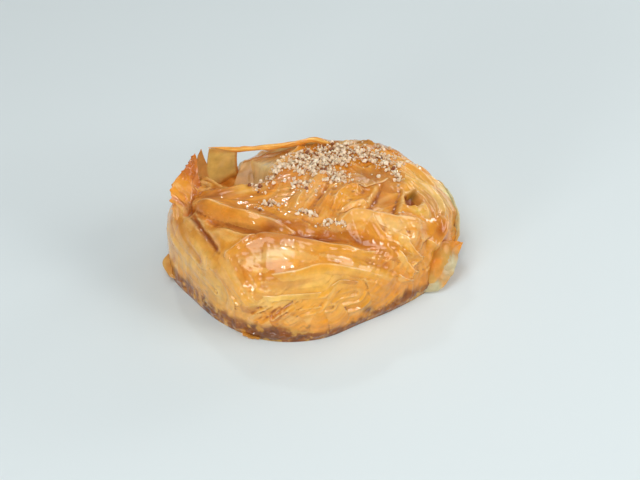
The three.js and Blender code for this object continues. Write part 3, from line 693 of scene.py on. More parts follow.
AMBER = srgb(188, 100, 14)
DEEP_AMBER = srgb(138, 66, 10)
HUB_ORANGE = srgb(198, 106, 20)
ORANGE = srgb(222, 132, 34)
GOLD = srgb(236, 156, 44)
HONEY = srgb(252, 186, 72)
LIGHT_GOLD = srgb(252, 200, 104)
PINK = srgb(238, 168, 104)
PALE = srgb(253, 216, 158)
CREAM = srgb(255, 232, 196)
BUTTER = srgb(246, 206, 116)
WALL = srgb(226, 180, 104)
OLIVE = srgb(240, 204, 124)
DARK_OLIVE = srgb(104, 78, 26)
PALE_OLIVE = srgb(232, 230, 198)
TAN = srgb(176, 116, 48)
BROWN = srgb(132, 68, 16)
DARK = srgb(88, 38, 12)
NUT_CREAM = srgb(244, 226, 198)
NUT_TAN = srgb(220, 184, 142)
NUT_SKIN = srgb(140, 82, 44)

# Tone, strength, then centre east and north and half width and half height on the map.
TONE_PATCHES = [
    (LIGHT_GOLD, 0.8, (-18, -119, 60, 15)),
    (PALE, 0.5, (-14, -117, 34, 8)),
    (LIGHT_GOLD, 0.7, (-44, -130, 30, 10)),
    (HONEY, 0.8, (36, -146, 56, 15)),
    (HONEY, 0.8, (60, -106, 44, 9)),
    # Painted sheen: the broad face under the pleats is painted pale.
    (PALE, 0.9, (-42, -86, 26, 8)),
    (GOLD, 0.6, (14, -104, 36, 7)),
    (AMBER, 0.9, (-39, -57, 26, 6)),
    (AMBER, 0.95, (-4, -73, 40, 6)),
    (AMBER, 0.5, (-10, -78, 46, 6)),
    (AMBER, 0.8, (46, -84, 30, 6)),
    (AMBER, 0.7, (-48, -68, 18, 4)),
    (PINK, 0.5, (-80, -51, 13, 6)),
    (ORANGE, 0.8, (-77, -31, 18, 10)),
    (AMBER, 0.85, (-78, -5, 16, 6)),
    (BUTTER, 0.5, (-60, -3, 7, 6)),
    (AMBER, 0.6, (-62, 10, 26, 10)),
    (PINK, 0.6, (-4, -10, 18, 28)),
    (HONEY, 0.6, (34, -36, 13, 13)),
    (AMBER, 1.0, (42, 8, 20, 13)),
    (DEEP_AMBER, 0.3, (44, 10, 16, 10)),
    (AMBER, 0.9, (58, 14, 8, 9)),
    (AMBER, 0.7, (62, -20, 15, 11)),
    (PINK, 0.7, (72, -54, 32, 9)),
    (PALE, 0.6, (82, -57, 13, 6)),
    (GOLD, 0.7, (30, -67, 18, 5)),
    (HONEY, 0.6, (106, 0, 22, 10)),
    (HONEY, 0.5, (66, -28, 18, 6)),
    (BUTTER, 0.5, (94, 12, 36, 13)),
    (PALE, 0.8, (106, -2, 18, 9)),
    # Painted shade: amber where the edge of the wrap turns down the right side.
    (AMBER, 0.95, (128, -24, 7, 12)),
    # Painted shade: the hole between the bands is painted dark olive.
    (DARK_OLIVE, 0.95, (85, -5, 4, 5)),
    (BUTTER, 0.8, (97, -20, 9, 5)),
    (HONEY, 0.6, (106, -76, 28, 14)),
    (ORANGE, 0.4, (133, -107, 30, 15)),
    (WALL, 0.95, (-128, -54, 34, 48)),
    (WALL, 0.9, (-112, -98, 34, 28)),
    (WALL, 0.6, (-140, 20, 30, 60)),
    (AMBER, 0.6, (-112, -24, 10, 18)),
    (ORANGE, 0.7, (-63, -92, 6, 17)),
    (HUB_ORANGE, 0.9, (-92, -12, 9, 20)),
    (DEEP_AMBER, 0.8, (-98, -23, 4, 13)),
    (PALE_OLIVE, 0.9, (126, 28, 16, 16)),
    (PALE_OLIVE, 0.7, (136, 50, 16, 26)),
    (TAN, 0.8, (40, 66, 30, 9)),
    (DARK, 0.9, (82, -160, 13, 6)),
]
# How much of each tone's red, green and blue is left once the leaves are soaked.
SOAKED = np.array([0.93, 0.89, 0.64])
# How high the soaked brown foot reaches, at even steps round the parcel from the east.
STAIN_HEIGHT = [6, 6, 6, 6, 6, 6, 7, 8, 9, 9.5, 9, 7.5, 4.5, 5, 6.5, 6]


def foot_tones(colour, points):
    """The soaked foot: ragged, mottled brown, with dark clots and yellow flecks of film."""
    angle = np.arctan2(points[:, 1] - CROWN[1], points[:, 0] - CROWN[0])
    height = points[:, 2] - round_parcel(STAIN_HEIGHT, angle)
    height = height + 2.6 * layered(points, 9, 51) + 1.2 * noise(points, 2.4, 52)
    foot = ramp(-height, -1.5, 2.5)
    clot = ramp(layered(points, 4.2, 61), 0.0, 0.35)
    tan = ramp(layered(points, 3.0, 62), 0.05, 0.45)
    soaked = mix(mix(BROWN, TAN, 0.85 * tan), DARK, 0.8 * clot)
    colour = mix(colour, soaked, 0.92 * foot)
    splash = ramp(layered(points, 5.0, 64), 0.35, 0.6) * ramp(-height, -6, -1)
    colour = mix(colour, DARK, 0.45 * splash)
    fleck = ramp(layered(points, 2.6, 63), 0.3, 0.6) * ramp(-height, -3, 2)
    film = ramp(layered(points, 3.6, 65), 0.15, 0.5) * ramp(-height, -2, 2)
    return mix(mix(colour, HONEY, 0.5 * film), LIGHT_GOLD, 0.45 * fleck)


def crust_tones(east, north, points, crease, hollow, flow):
    """Painted shade of amber in the hollows and deeper amber in the creases, a painted highlight of
    pale on the crests, cream painted as light on the shaded slope by the pocket, streaked walls and a
    soaked foot.
    """
    colour = np.broadcast_to(GOLD, (len(east), 3)).copy()
    for tone, strength, spot in TONE_PATCHES:
        colour = mix(colour, tone, strength * blob(east, north, spot))
    patch = layered(points, 13, 41)
    colour = mix(colour, AMBER, 0.22 * ramp(patch, 0.0, 0.6))
    colour = mix(colour, PALE, 0.16 * ramp(-patch, 0.0, 0.6))
    layer = layered(flow * [1 / 3.2, 1 / 24, 1], 1.0, 43)
    colour = mix(colour, AMBER, 0.40 * ramp(layer, 0.05, 0.5))
    colour = mix(colour, PALE, 0.32 * ramp(-layer, 0.05, 0.5))
    wall = ramp(np.hypot(east, north), 100, 125) * away_from_front(east, north)
    hang = stacked(np.arctan2(north, east) * 26, points[:, 2] * 0.05, 0)
    streak = layered(hang, 1.0, 44)
    colour = mix(colour, AMBER, 0.14 * wall * ramp(streak, 0.0, 0.6))
    colour = mix(colour, PALE, 0.16 * wall * ramp(-streak, 0.0, 0.6))
    # Painted light: cream on the shaded slope beside the pocket, where the painted shade of the
    # hollows is mostly left off.
    inside = blob(east, north, LIT_POCKET_PATCH)
    # Painted shade: amber in the hollows and deeper amber in the creases; painted highlight: pale on
    # the crests.
    colour = mix(colour, AMBER, 0.85 * (1 - 0.8 * inside) * ramp(hollow, 0.1, 1.4))
    colour = mix(colour, DEEP_AMBER, 0.8 * ramp(crease, 0.06, 0.4))
    colour = mix(colour, PALE, 0.6 * ramp(-crease, 0.06, 0.4))
    colour = mix(colour, CREAM, 0.85 * inside)
    return foot_tones(colour, points) * SOAKED


# ------------------------------------------------------------------ the crust

def build_crust():
    east, north = disc_grid(CRUST_CELLS)
    points, _, lift, flow = crust_points(east, north)
    outline = np.hypot(east, north) > MAP_SIZE - 0.01
    points[outline, 2] = 0
    # How far each point lies below its close and its wide surroundings; the crust's painted shade in
    # creases and hollows and its painted highlight on crests come from these.
    crease = grid_blur(lift, CRUST_CELLS, 8) - lift
    hollow = grid_blur(lift, CRUST_CELLS, 90) - lift
    colours = crust_tones(east, north, points, crease, hollow, flow)
    faces = grid_faces(CRUST_CELLS, CRUST_CELLS).tolist()
    rim = grid_rim(CRUST_CELLS, CRUST_CELLS)
    points = np.vstack([points, [CROWN[0], CROWN[1], 0]])
    colours = np.vstack([colours, [BROWN]])
    flow = np.vstack([flow, [0, 0, 0]])
    centre = len(points) - 1
    faces += [[centre, end, start] for start, end in rim]
    make_piece("crust", points, faces, CRUST, colours, flow)


# ------------------------------------------------------------------ loose leaves

def leaf_mesh(place, cells, tone, wrinkle, ragged, lip, seed):
    """A thin closed leaf from place(u, v), u along and v outward: points, faces, tones, flow.

    ragged is how torn its free edge is and lip how much thicker it gets there."""
    columns, rows = cells
    u, v = np.meshgrid(np.linspace(0, 1, columns + 1), np.linspace(0, 1, rows + 1))
    u = u.ravel()
    v = v.ravel()
    tear = stacked(u * 60, 0, seed)
    reach = 1 - ragged * (0.5 + 0.5 * layered(tear, 5.0, seed, 4))
    middle = place(u, v * reach)
    grid = middle.reshape(rows + 1, columns + 1, 3)
    normal = np.cross(np.gradient(grid, axis=1), np.gradient(grid, axis=0)).reshape(-1, 3)
    normal = unit(normal, 1e-9)
    wave = layered(middle, 7, seed + 5) + 0.6 * ridged(middle, 3.2, seed + 6) - 0.3
    middle = middle + normal * (wrinkle * wave * smooth(v * 4))[:, None]
    half = 0.5 * LEAF_THICKNESS * (1 + lip * smooth((v - 0.93) / 0.07))
    front = middle + normal * half[:, None]
    back = middle - normal * half[:, None]
    points = np.vstack([front, back])
    points[:, 2] = np.maximum(points[:, 2], 0.02)
    count = len(middle)
    faces = grid_faces(columns, rows)
    all_faces = faces.tolist() + (faces[:, ::-1] + count).tolist()
    rim = grid_rim(columns, rows)
    all_faces += [[start, start + count, end + count, end] for start, end in rim]
    shade = tone(u, v, middle)
    length = np.linalg.norm(np.diff(grid[rows // 2], axis=0), axis=1).sum()
    height = np.linalg.norm(np.diff(grid[:, columns // 2], axis=0), axis=1).sum()
    flow = stacked(v * height, u * length, seed)
    return points, all_faces, np.vstack([shade, shade]), np.vstack([flow, flow])


def joined(meshes):
    """Several sets of points, faces and values at the points as one."""
    faces = []
    count = 0
    for some_points, some_faces, *_ in meshes:
        faces += [[corner + count for corner in face] for face in some_faces]
        count += len(some_points)
    points = np.vstack([mesh[0] for mesh in meshes])
    values = [np.vstack(layer) for layer in zip(*(mesh[2:] for mesh in meshes))]
    return [points, faces, *values]


def leaf_piece(name, material, leaves):
    points, faces, tones, flow = joined(leaves)
    make_piece(name, points, faces, material, tones, flow)


def leaf_tone(low, high, edge=None):
    """Two tones in patches, with a third along the free edge."""
    def tone(u, v, points):
        shade = mix(low, high, ramp(layered(points, 7, 71), -0.5, 0.5))
        if edge is not None:
            shade = mix(shade, edge, 0.8 * smooth((v - 0.8) / 0.2))
        return shade
    return tone


def outward(points):
    """The level direction from the crown to each point."""
    return unit((points - CROWN) * [1, 1, 0])


def between(foot, edge, bulge):
    """The middle surface between a foot curve and an edge curve, bulging outward."""
    def place(u, v):
        low = curve_at(foot, u)
        high = curve_at(edge, u)
        swell = bulge * np.sin(math.pi * v)
        return low + (high - low) * v[:, None] + outward(low) * swell[:, None]
    return place


def path_of(name):
    """The path on the map of the fold of that name."""
    return next(fold[-1] for fold in FOLDS + FINE_FOLDS if fold[0] == name)


# Leaves that lie on the crust and end in a free edge: how far the edge stands off, how far
# the leaf reaches to the right of its edge on the map, how torn it is, and the edge's path.
DRAPED = [
    (0.9, 15, 0.04, path_of("first pleat")),
    (0.9, 14, 0.04, [(-58, -66), (-44, -68), (-30, -73), (0, -86), (22, -92), (48, -95), (84, -84)]),
    (0.8, 8, 0.04, [(-82, -76), (-71, -73), (-60, -70), (-50, -67)]),
    (0.8, 15, 0.10, path_of("apron edge")[:-1]),
    (0.6, 9, 0.10, path_of("apron crest")[:4]),
    (0.6, 6, 0.10, [(12, -128), (22, -123), (36, -125), (53, -127)]),
    (0.9, 8, 0.05, path_of("shelf")),
    (1.2, 13, 0.10, path_of("pocket side")[::-1]),
    (0.8, 12, 0.05, path_of("left fold")),
    (0.9, 20, 0.03, path_of("roll of the right side")),
    (1.0, 7, 0.08, [(50, 40), (72, 35), (95, 31), (115, 28), (136, 19), (155, 9)]),
    (1.2, 6, 0.08, path_of("band layer one")),
    (1.3, 7, 0.08, path_of("band layer three")),
    (1.2, 6, 0.10, path_of("band layer four")),
    (1.0, 6, 0.10, [(71, 14), (82, 2), (93, -5), (108, -12), (120, -18)]),
    (0.9, 10, 0.05, path_of("edge of the wrap")),
    (0.7, 8, 0.05, path_of("third rib")),
    (0.5, 16, 0.02, [(62, 14), (52, 4), (40, -4), (27, -12)]),
    (0.6, 7, 0.05, path_of("first rib")),
    (0.6, 7, 0.05, path_of("fourth rib")),
    (1.4, 12, 0.14, [(84, -58), (100, -62), (118, -66), (134, -60)]),
    (1.4, 12, 0.14, [(92, -74), (108, -80), (126, -84), (140, -76)]),
    (1.2, 12, 0.14, [(108, -100), (124, -98), (138, -92)]),
    (1.3, 10, 0.14, [(118, -44), (134, -42), (148, -36)]),
    (1.0, 8, 0.20, [(82, -12), (92, -16), (104, -18)]),
    (1.0, 9, 0.15, [(22, 66), (40, 68), (58, 60)]),
]
# Millimetres below the crust at a draped leaf's root, and above the root where it lies.
ROOT_DEPTH = 0.45
LEAF_RISE = 0.55
# How far the free edge reaches past its path on the map.
OVERHANG = 1.5


def draped(path, lift, width):
    """A leaf on the crust whose free edge follows a map path, its root to the path's right."""
    steps = np.linspace(0, 1, 24)
    edge = curve_at(path, steps)
    ahead = unit(np.gradient(edge, axis=0))
    rightward = stacked(ahead[:, 1], -ahead[:, 0])
    root = edge + rightward * width
    edge = edge - rightward * OVERHANG

    def spot(u, v):
        return curve_at(root, u) + (curve_at(edge, u) - curve_at(root, u)) * v[:, None]

    def place(u, v):
        ground, normal, _, _ = crust_points(*spot(u, v).T)
        ends = smooth(np.minimum(u, 1 - u) / 0.2)
        uneven = 0.7 + 0.6 * noise(stacked(u * 30, 0, width), 4, 91)
        offset = ends * (LEAF_RISE * smooth(v / 0.9) + lift * uneven * v ** 3) - ROOT_DEPTH
        return ground + normal * offset[:, None]

    def tone(u, v, points):
        east, north = spot(u, v).T
        lanes = stacked(v * 0.5 * width, u * 40, width)
        colour = crust_tones(east, north, points, u * 0, u * 0, lanes)
        broken_highlight = ramp(noise(stacked(u * 45, 0, width), 4, 92), -0.5, 0.4)
        # Painted highlight: a broken pale line along the free edge.
        return mix(colour, PALE, (0.15 + 0.60 * broken_highlight) * smooth((v - 0.91) / 0.06))

    return place, tone


def build_draped():
    meshes = []
    for k, (lift, width, torn, path) in enumerate(DRAPED):
        length = np.linalg.norm(np.diff(np.array(path, float), axis=0), axis=1).sum()
        place, tone = draped(path, lift, width)
        cells = (int(1.2 * length), 20)
        meshes.append(leaf_mesh(place, cells, tone, wrinkle=0.06, ragged=torn, lip=0.2, seed=30 + k))
    leaf_piece("draped_leaves", CRUST, meshes)


RIM_FOOT = [(-52, -8, 20), (-53, 3, 20), (-50, 14, 18), (-42.5, 25.5, 16), (-28, 35, 14),
            (-11.5, 38, 16), (1.5, 37.5, 22), (11, 35, 29)]
RIM_EDGE = [(-60, -5, 36), (-58.7, 6, 39), (-53.5, 17, 41), (-45, 25, 44.5), (-30, 27, 43),
            (-12, 28, 43.5), (2, 28, 45.5), (11, 29, 40)]
RIM_BULGE = 2.5
# How high each part of the rim still stands, with its tears: place along it and share of
# its full height.
RIM_LEFT_TOP = [(0, 0.35), (0.05, 0.75), (0.11, 0.96), (0.345, 0.97), (0.36, 0.86), (0.392, 0.86),
                (0.41, 1.02), (0.447, 0.68), (0.452, 0.97), (0.565, 0.97)]
RIM_RIGHT_TOP = [(0.575, 0.45), (0.60, 0.58), (0.64, 0.68), (0.68, 0.84), (0.72, 0.97), (1, 1)]
RIM_START = 0.352
RIM_PARTING = (0.562, 0.578)
ROLL_SPAN = (0.447, 0.96)

# Foot and free edge of the other leaves, in millimetres: the pale sheet that leans in the
# pocket behind the nuts, the outer leaf, the flap, the flake at the left and the front drip.
SHEET_FOOT = [(-34, 23, 25), (-24, 24, 26.5), (-14, 25.5, 29.5), (-7, 28, 35)]
SHEET_EDGE = [(-29, 31, 33.5), (-19, 32.5, 36), (-9, 32, 38.5), (-1, 31, 42)]
OUTER_FOOT = [(39.5, 27.5, 14), (44, 22.5, 11), (48.5, 16, 8), (51.5, 10, 6), (53.5, 4.5, 5),
              (54.5, 0, 4.5), (54, -4, 5)]
OUTER_EDGE = [(47.5, 24, 27), (51.5, 21.5, 27.3), (55.5, 17, 27), (58.5, 12, 25.5), (60, 8, 23.5),
              (60.7, 2.5, 17.5), (61, -1, 14)]
FLAP_FOOT = [(39, -22, 4), (41, -21, 7), (43, -19.5, 10), (45, -18, 13), (47, -16, 15.5),
             (49, -14.5, 17), (52, -12, 18), (56.5, -10, 17.3)]
FLAP_EDGE = [(40.7, -23.4, 0.6), (44.6, -23.2, 0.6), (49.4, -23, 0.7), (52.2, -22.2, 1.5),
             (55.3, -19.9, 4), (57.9, -16.7, 8), (59.6, -11.8, 12), (61.5, -9.4, 15.5)]
# A second, smaller leaf inside the flap reaches this share of the way to its edge.
INNER_SHARE = 0.72
LEFT_FOOT = [(-57, -10, 2), (-58, -4, 5), (-58, 3, 8)]
LEFT_EDGE = [(-62, -8, 3), (-65, -2, 6), (-61, 3, 8)]
FRONT_FOOT = [(-31, -42, 1), (-25, -44, 1), (-19, -45, 1)]
FRONT_EDGE = [(-31, -47, 0.7), (-26, -49.5, 0.7), (-19, -48.5, 0.7)]


def pleated(place, count, depth, seed):
    """The same surface with uneven pleats that run from its foot to its free edge."""
    def folded(u, v):
        middle = place(u, v)
        swell = depth * (pleat(u, v, count, seed) - 0.5) * smooth(v * 4)
        return middle + outward(middle) * swell[:, None]
    return folded


def pleat(u, v, count, seed):
    """0 in the pleats and 1 on their crests."""
    lanes = stacked(u * count + 0.8 * v, v * 1.3, 0)
    return 0.7 * ridged(lanes, 1.0, seed) + 0.3 * ridged(lanes, 0.4, seed + 1)


def rim_part(first, last, top):
    """The rim between two places along it, only as high as top says."""
    places, shares = np.array(top).T

    def place(u, v):
        along = first + (last - first) * u
        return between(RIM_FOOT, RIM_EDGE, RIM_BULGE)(along, v * np.interp(along, places, shares))

    return place


# Where the lap's foot meets the crust, on the map.
LAP_FOOT = [(-118, -24), (-104, -15), (-97, -5), (-94, 6), (-91, 18)]
# Where along the rim its top begins and ends.
LAP_SPAN = (0.02, 0.365)
LAP_PLEATS = 7
LAP_DEPTH = 2.2
LAP_SEED = 76


def left_lap():
    """The sheet that falls from the rim's left edge in to the hub."""
    low, normal, _, _ = crust_points(*np.array(LAP_FOOT, float).T)
    low = low - normal * 0.8
    high = curve_at(RIM_EDGE, np.linspace(*LAP_SPAN, len(LAP_FOOT)))
    high -= 0.3 * outward(high)
    high[0, 2] -= 6
    high[-2:, 2] += 1.2
    return pleated(between(low, high, -1.2), LAP_PLEATS, LAP_DEPTH, LAP_SEED)


def rim_tone(first, last):
    """Yellow to pale, olive to the right; orange at the left, the top, the tears and the foot."""
    def tone(u, v, points):
        along = first + (last - first) * u
        shade = mix(BUTTER, PALE, 0.8 * ramp(layered(points, 8, 72), -0.2, 0.5))
        shade = mix(shade, PALE_OLIVE, 0.8 * ramp(along, 0.60, 0.66))
        shade = mix(shade, ORANGE, 0.9 * ramp(-along, -0.452, -0.440))
        shade = mix(shade, ORANGE, 0.6 * smooth((v - 0.86) / 0.12))
        side = np.minimum(np.abs(along - RIM_PARTING[0]), np.abs(along - RIM_PARTING[1]))
        shade = mix(shade, ORANGE, 0.9 * ramp(-side, -0.012, -0.004))
        return mix(shade, ORANGE, 0.8 * ramp(-v, -0.45, -0.28))
    return tone


def sheet_tone(u, v, points):
    """Cream in the middle, yellow round it and orange along the free edge."""
    shade = mix(BUTTER, CREAM, np.exp(-((u - 0.42) / 0.4) ** 2 - ((v - 0.62) / 0.45) ** 2))
    return mix(shade, ORANGE, 0.7 * smooth((v - 0.9) / 0.08))


def lap_tone_and_painted_light(u, v, points):
    """Amber in the pleats' valleys as painted shade and gold to pink on their crests as painted
    highlight, darker toward the hub.
    """
    crest = pleat(u, v, LAP_PLEATS, LAP_SEED)
    face = mix(GOLD, PINK, ramp(layered(points, 6, 73), -0.3, 0.3))
    # Painted shade of amber and orange in the pleats' valleys, painted highlight of gold and pink on
    # their crests.
    shade = mix(mix(AMBER, ORANGE, 0.5), face, ramp(crest, 0.05, 0.6))
    shade = mix(shade, PALE, 0.35 * ramp(layered(points, 5, 75), 0.1, 0.5))
    shade = mix(shade, AMBER, 0.75 * ramp(u, 0.62, 0.85))
    return mix(shade, HUB_ORANGE, 0.8 * ramp(-v, -0.45, -0.05)) * SOAKED


def build_leaves():
    left = leaf_mesh(rim_part(RIM_START, RIM_PARTING[0], RIM_LEFT_TOP), (170, 44),
                     rim_tone(RIM_START, RIM_PARTING[0]), wrinkle=0.4, ragged=0, lip=0.6, seed=2)
    right = leaf_mesh(rim_part(RIM_PARTING[1], 1, RIM_RIGHT_TOP), (170, 44),
                      rim_tone(RIM_PARTING[1], 1), wrinkle=0.4, ragged=0, lip=0.6, seed=3)
    leaf_piece("rim_leaves", RIM_LEAF, [left, right])
    lap = leaf_mesh(left_lap(), (150, 60), lap_tone_and_painted_light, wrinkle=0.35, ragged=0, lip=0.8, seed=5)
    leaf_piece("left_lap", CRUST, [lap])
    outer = leaf_mesh(between(OUTER_FOOT, OUTER_EDGE, 0.8), (110, 40),
                      leaf_tone(PALE_OLIVE, BUTTER), wrinkle=0.5, ragged=0.1, lip=0.5, seed=6)
    sheet = leaf_mesh(between(SHEET_FOOT, SHEET_EDGE, 0.5), (70, 36), sheet_tone,
                      wrinkle=0.4, ragged=0.1, lip=0.8, seed=4)
    leaf_piece("pale_leaves", PALE_LEAF, [outer, sheet])
    flap = leaf_mesh(between(FLAP_FOOT, FLAP_EDGE, 0.8), (110, 44),
                     leaf_tone(HONEY, PALE_OLIVE), wrinkle=0.6, ragged=0.1, lip=0.5, seed=7)
    inner_edge = mix(np.array(FLAP_FOOT), np.array(FLAP_EDGE), INNER_SHARE)
    second = leaf_mesh(between(FLAP_FOOT, inner_edge, 1.6), (110, 30),
                       leaf_tone(HONEY, BUTTER, PALE), wrinkle=0.6, ragged=0.25, lip=0.8, seed=8)
    flake = leaf_mesh(between(LEFT_FOOT, LEFT_EDGE, 0.3), (30, 14),
                      leaf_tone(GOLD, OLIVE), wrinkle=0.15, ragged=0.1, lip=0.3, seed=9)
    drip = leaf_mesh(between(FRONT_FOOT, FRONT_EDGE, 0.0), (40, 16),
                     leaf_tone(GOLD, LIGHT_GOLD), wrinkle=0.1, ragged=0.2, lip=0.3, seed=10)
    leaf_piece("loose_leaves", LEAF, [flap, second, flake, drip])


def build_roll():
    """The rim's rolled edge, a wrinkled tube that narrows to both ends."""
    rings = 200
    sides = 20
    ring = np.arange(rings + 1)
    u = np.linspace(ROLL_SPAN[0], ROLL_SPAN[1], rings + 1)
    centre = between(RIM_FOOT, RIM_EDGE, RIM_BULGE)(u, np.ones_like(u))
    ahead = unit(np.gradient(centre, axis=0))
    sideways = unit(np.cross([0, 0, 1], ahead))
    upward = np.cross(ahead, sideways)
    end = np.minimum(ring / (rings * 0.25), (rings - ring) / (rings * 0.12))
    radius = ROLL_RADIUS * (0.12 + 0.88 * smooth(end))
    centre = centre - upward * radius[:, None] * 0.9
    angle = np.linspace(0, 2 * math.pi, sides, endpoint=False)
    spin = angle[None, :] + 0.6 * np.sin(u * 30)[:, None]
    spoke = (0.8 * np.cos(spin)[..., None] * sideways[:, None, :]
             + 1.1 * np.sin(spin)[..., None] * upward[:, None, :])
    spoke = (spoke * radius[:, None, None]).reshape(-1, 3)
    around = np.tile(angle, rings + 1)
    along = np.repeat(u, sides)
    lengthwise = stacked(along * 9, np.cos(around) * 1.6, np.sin(around) * 1.6)
    crease = 1 + 0.35 * (ridged(lengthwise, 1.0, 81) - 0.5)
    points = np.repeat(centre, sides, axis=0) + spoke * crease[:, None]
    faces = []
    for i in range(rings):
        for k in range(sides):
            start = i * sides + k
            beside = i * sides + (k + 1) % sides
            faces.append([start, beside, beside + sides, start + sides])
    faces.append(list(range(sides))[::-1])
    faces.append([rings * sides + k for k in range(sides)])
    shade = mix(ORANGE, LIGHT_GOLD, ramp(layered(lengthwise, 1.0, 82), -0.6, 0.8))
    flow = stacked(around, along * 100, 0)
    make_piece("rim_roll", points, faces, CRUST, shade, flow)


# ------------------------------------------------------------------ chopped nuts

# How many, how far they stray from the path, how high they heap, and the path on the map.
NUT_TRAILS = [
    (520, 6.5, 1.4, [(-27, 28), (-18, 37), (-6, 47), (8, 52), (22, 49), (34, 43), (47, 39),
                     (59, 34), (68, 29)]),
    (280, 7, 0.9, [(-19, 15), (-9, 19), (4, 14), (13, 8), (22, 1)]),
    (300, 6, 1.3, [(-10, 32), (4, 32), (16, 34), (28, 30)]),
    (120, 4, 0.6, [(-27, 28), (-35, 25), (-41, 18), (-45, 8), (-50, -8)]),
    (50, 5, 0.3, [(-26, 8), (-19, -7), (-7, -7)]),
    (44, 3, 0.5, [(62, 22), (66, 15), (71, 6)]),
    (44, 4, 0.4, [(-54, -35), (-48, -26), (-40, -29)]),
    (38, 3.5, 0.4, [(-20, -41), (-13, -45), (-6, -51)]),
    (40, 3, 0.4, [(1, -60), (13, -64), (29, -68)]),
    (46, 3.5, 0.3, [(44, 58), (62, 52), (76, 38), (86, 32)]),
    (34, 26, 0.0, [(-34, -10), (6, 0), (30, 14)]),
    (5, 3, 0.0, [(40, -5), (52, 13), (89, -35), (89, 26)]),
]
# The radius in millimetres from which a grain has a finer shape, and the share of grains
# with their brown skin on.
LARGE_GRAIN = 0.82
SKIN_SHARE = 0.05


def nut_shapes(random, count, detail):
    """Chopped chunks: small balls cut flat by a few planes."""
    bpy.ops.mesh.primitive_ico_sphere_add(subdivisions=detail, radius=1)
    ball = bpy.context.object
    base = np.array([v.co for v in ball.data.vertices])
    faces = np.array([p.vertices[:] for p in ball.data.polygons])
    bpy.data.objects.remove(ball)
    shapes = []
    for _ in range(count):
        chunk = base * random.uniform(0.75, 1.25, 3)
        for _ in range(8):
            direction = random.normal(size=3)
            direction /= np.linalg.norm(direction)
            past = chunk @ direction - random.uniform(0.3, 0.75)
            chunk = chunk - np.maximum(past, 0)[:, None] * direction
        shapes.append(chunk)
    return shapes, faces


def build_nuts():
    random = np.random.default_rng(SEED)
    fine_shapes, fine_faces = nut_shapes(random, 24, 2)
    small_shapes, small_faces = nut_shapes(random, 24, 1)
    places = []
    heaps = []
    for count, stray, heap, path in NUT_TRAILS:
        t = (np.arange(count) + random.random(count)) / count
        middle = curve_at(path, t)
        places.append(middle + stray * random.normal(size=middle.shape) * 0.8)
        heaps.append(heap * random.random(count) ** 1.5)
    places = np.vstack(places)
    heaps = np.concatenate(heaps)
    ground, normals, _, _ = crust_points(places[:, 0], places[:, 1])
    size = 0.36 + 0.85 * random.random(len(places)) ** 2.2
    centre = ground + normals * (size * 0.45 + heaps)[:, None]
    meshes = []
    for k in range(len(places)):
        large = size[k] > LARGE_GRAIN
        shapes, faces = (fine_shapes, fine_faces) if large else (small_shapes, small_faces)
        chunk = shapes[random.integers(len(shapes))]
        turn, _ = np.linalg.qr(random.normal(size=(3, 3)))
        if np.linalg.det(turn) < 0:
            turn[:, 0] *= -1
        placed = (chunk * size[k]) @ turn.T + centre[k]
        tone = mix(NUT_CREAM, NUT_TAN, random.random() ** 1.3)
        if random.random() < SKIN_SHARE:
            tone = NUT_SKIN
        meshes.append((placed, faces.tolist(), np.broadcast_to(tone, placed.shape)))
    points, faces, tones = joined(meshes)
    make_piece("nut_grains", points, faces, NUT, tones)


# ------------------------------------------------------------------ stage

ELEVATION = math.radians(36.8)
ROLL = math.radians(-2.3)
DISTANCE = 957 * MM
AIM = (np.array([2.0, 17.1, 0.0]) - [MIDDLE[0], MIDDLE[1], 0.0]) * MM
LENS = 125.3
FLOOR_HALF = 3.0
FLOOR_COLOUR = (0.71, 0.78, 0.79, 1)
SKY_COLOUR = (0.94, 0.98, 1.0, 1)
SKY_STRENGTH = 0.16
LIGHTS_AIM = Vector((0, 0, 0.02))
# Name, place and size in metres, and power in watts.
LIGHTS = [
    ("key", (-0.28, -0.50, 0.90), (0.62, 0.50), 3.3),
    ("sheen", (-0.32, -0.05, 1.00), (0.16, 0.12), 0.4),
    ("overhead", (0.05, 0.25, 1.05), (1.0, 0.7), 1.0),
    ("back", (-0.20, 0.85, 0.85), (0.08, 0.06), 1.2),
    ("wide back", (0.40, 0.95, 0.45), (0.5, 0.3), 0.8),
    ("fill", (0.8, -0.2, 0.6), (0.5, 0.5), 3.0),
    ("right back", (0.80, 0.62, 0.35), (0.30, 0.20), 1.6),
    ("low strip", (-0.58, -0.76, 0.20), (0.32, 0.12), 3.0),
    ("right strip", (0.70, -0.45, 0.35), (0.20, 0.12), 1.3),
    ("top glint", (-0.10, -0.30, 1.00), (0.05, 0.04), 0.7),
    ("front glint", (-0.10, -0.90, 0.50), (0.08, 0.06), 0.7),
]


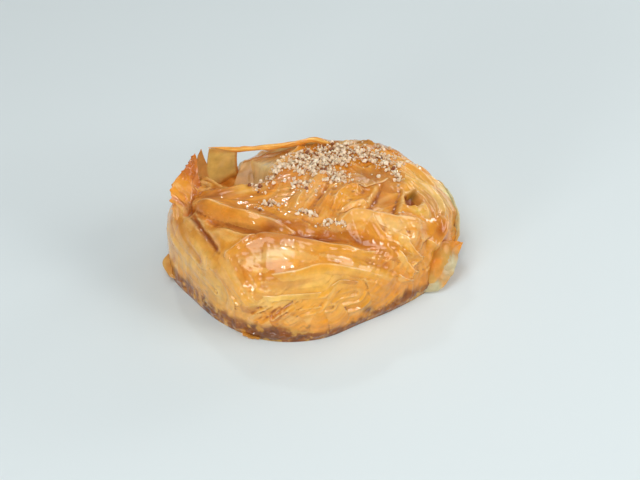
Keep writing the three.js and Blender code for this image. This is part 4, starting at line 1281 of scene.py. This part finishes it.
def build_camera():
    camera = bpy.data.objects.new("camera", bpy.data.cameras.new("camera"))
    camera.data.lens = LENS
    camera.data.sensor_width = 36
    camera.data.clip_start = 0.01
    camera.data.clip_end = 20
    back = np.array([0, -math.cos(ELEVATION), math.sin(ELEVATION)])
    camera.location = AIM + DISTANCE * back
    turn = Euler((math.pi / 2 - ELEVATION, 0, 0)).to_matrix() @ Matrix.Rotation(ROLL, 3, "Z")
    camera.rotation_euler = turn.to_euler()
    bpy.context.scene.collection.objects.link(camera)
    bpy.context.scene.camera = camera


def build_floor():
    mesh = bpy.data.meshes.new("floor")
    corners = [(east * FLOOR_HALF, north * FLOOR_HALF, 0)
               for east, north in ((-1, -1), (1, -1), (1, 1), (-1, 1))]
    mesh.from_pydata(corners, [], [(0, 1, 2, 3)])
    floor = bpy.data.objects.new("floor", mesh)
    material, tree, output = node_tree("pale_floor")
    shader = new_node(tree, "BsdfPrincipled", Base_Color=FLOOR_COLOUR, Roughness=0.8,
                      Specular_IOR_Level=0.1)
    link(tree, shader.outputs["BSDF"], output.inputs["Surface"])
    mesh.materials.append(material)
    bpy.context.scene.collection.objects.link(floor)


def area_light(name, place, size, power):
    data = bpy.data.lights.new(name, "AREA")
    data.shape = "RECTANGLE"
    data.size = size[0]
    data.size_y = size[1]
    data.energy = power
    lamp = bpy.data.objects.new(name, data)
    lamp.location = place
    direction = LIGHTS_AIM - Vector(place)
    lamp.rotation_euler = direction.to_track_quat("-Z", "Y").to_euler()
    bpy.context.scene.collection.objects.link(lamp)


def build_lights():
    for name, place, size, power in LIGHTS:
        area_light(name, place, size, power)
    world = bpy.data.worlds.new("studio")
    world.use_nodes = True
    sky = world.node_tree.nodes["Background"]
    sky.inputs["Color"].default_value = SKY_COLOUR
    sky.inputs["Strength"].default_value = SKY_STRENGTH
    bpy.context.scene.world = world
    bpy.context.scene.view_settings.view_transform = "Standard"


build_camera()
build_floor()
build_lights()
build_crust()
build_draped()
build_leaves()
build_roll()
build_nuts()
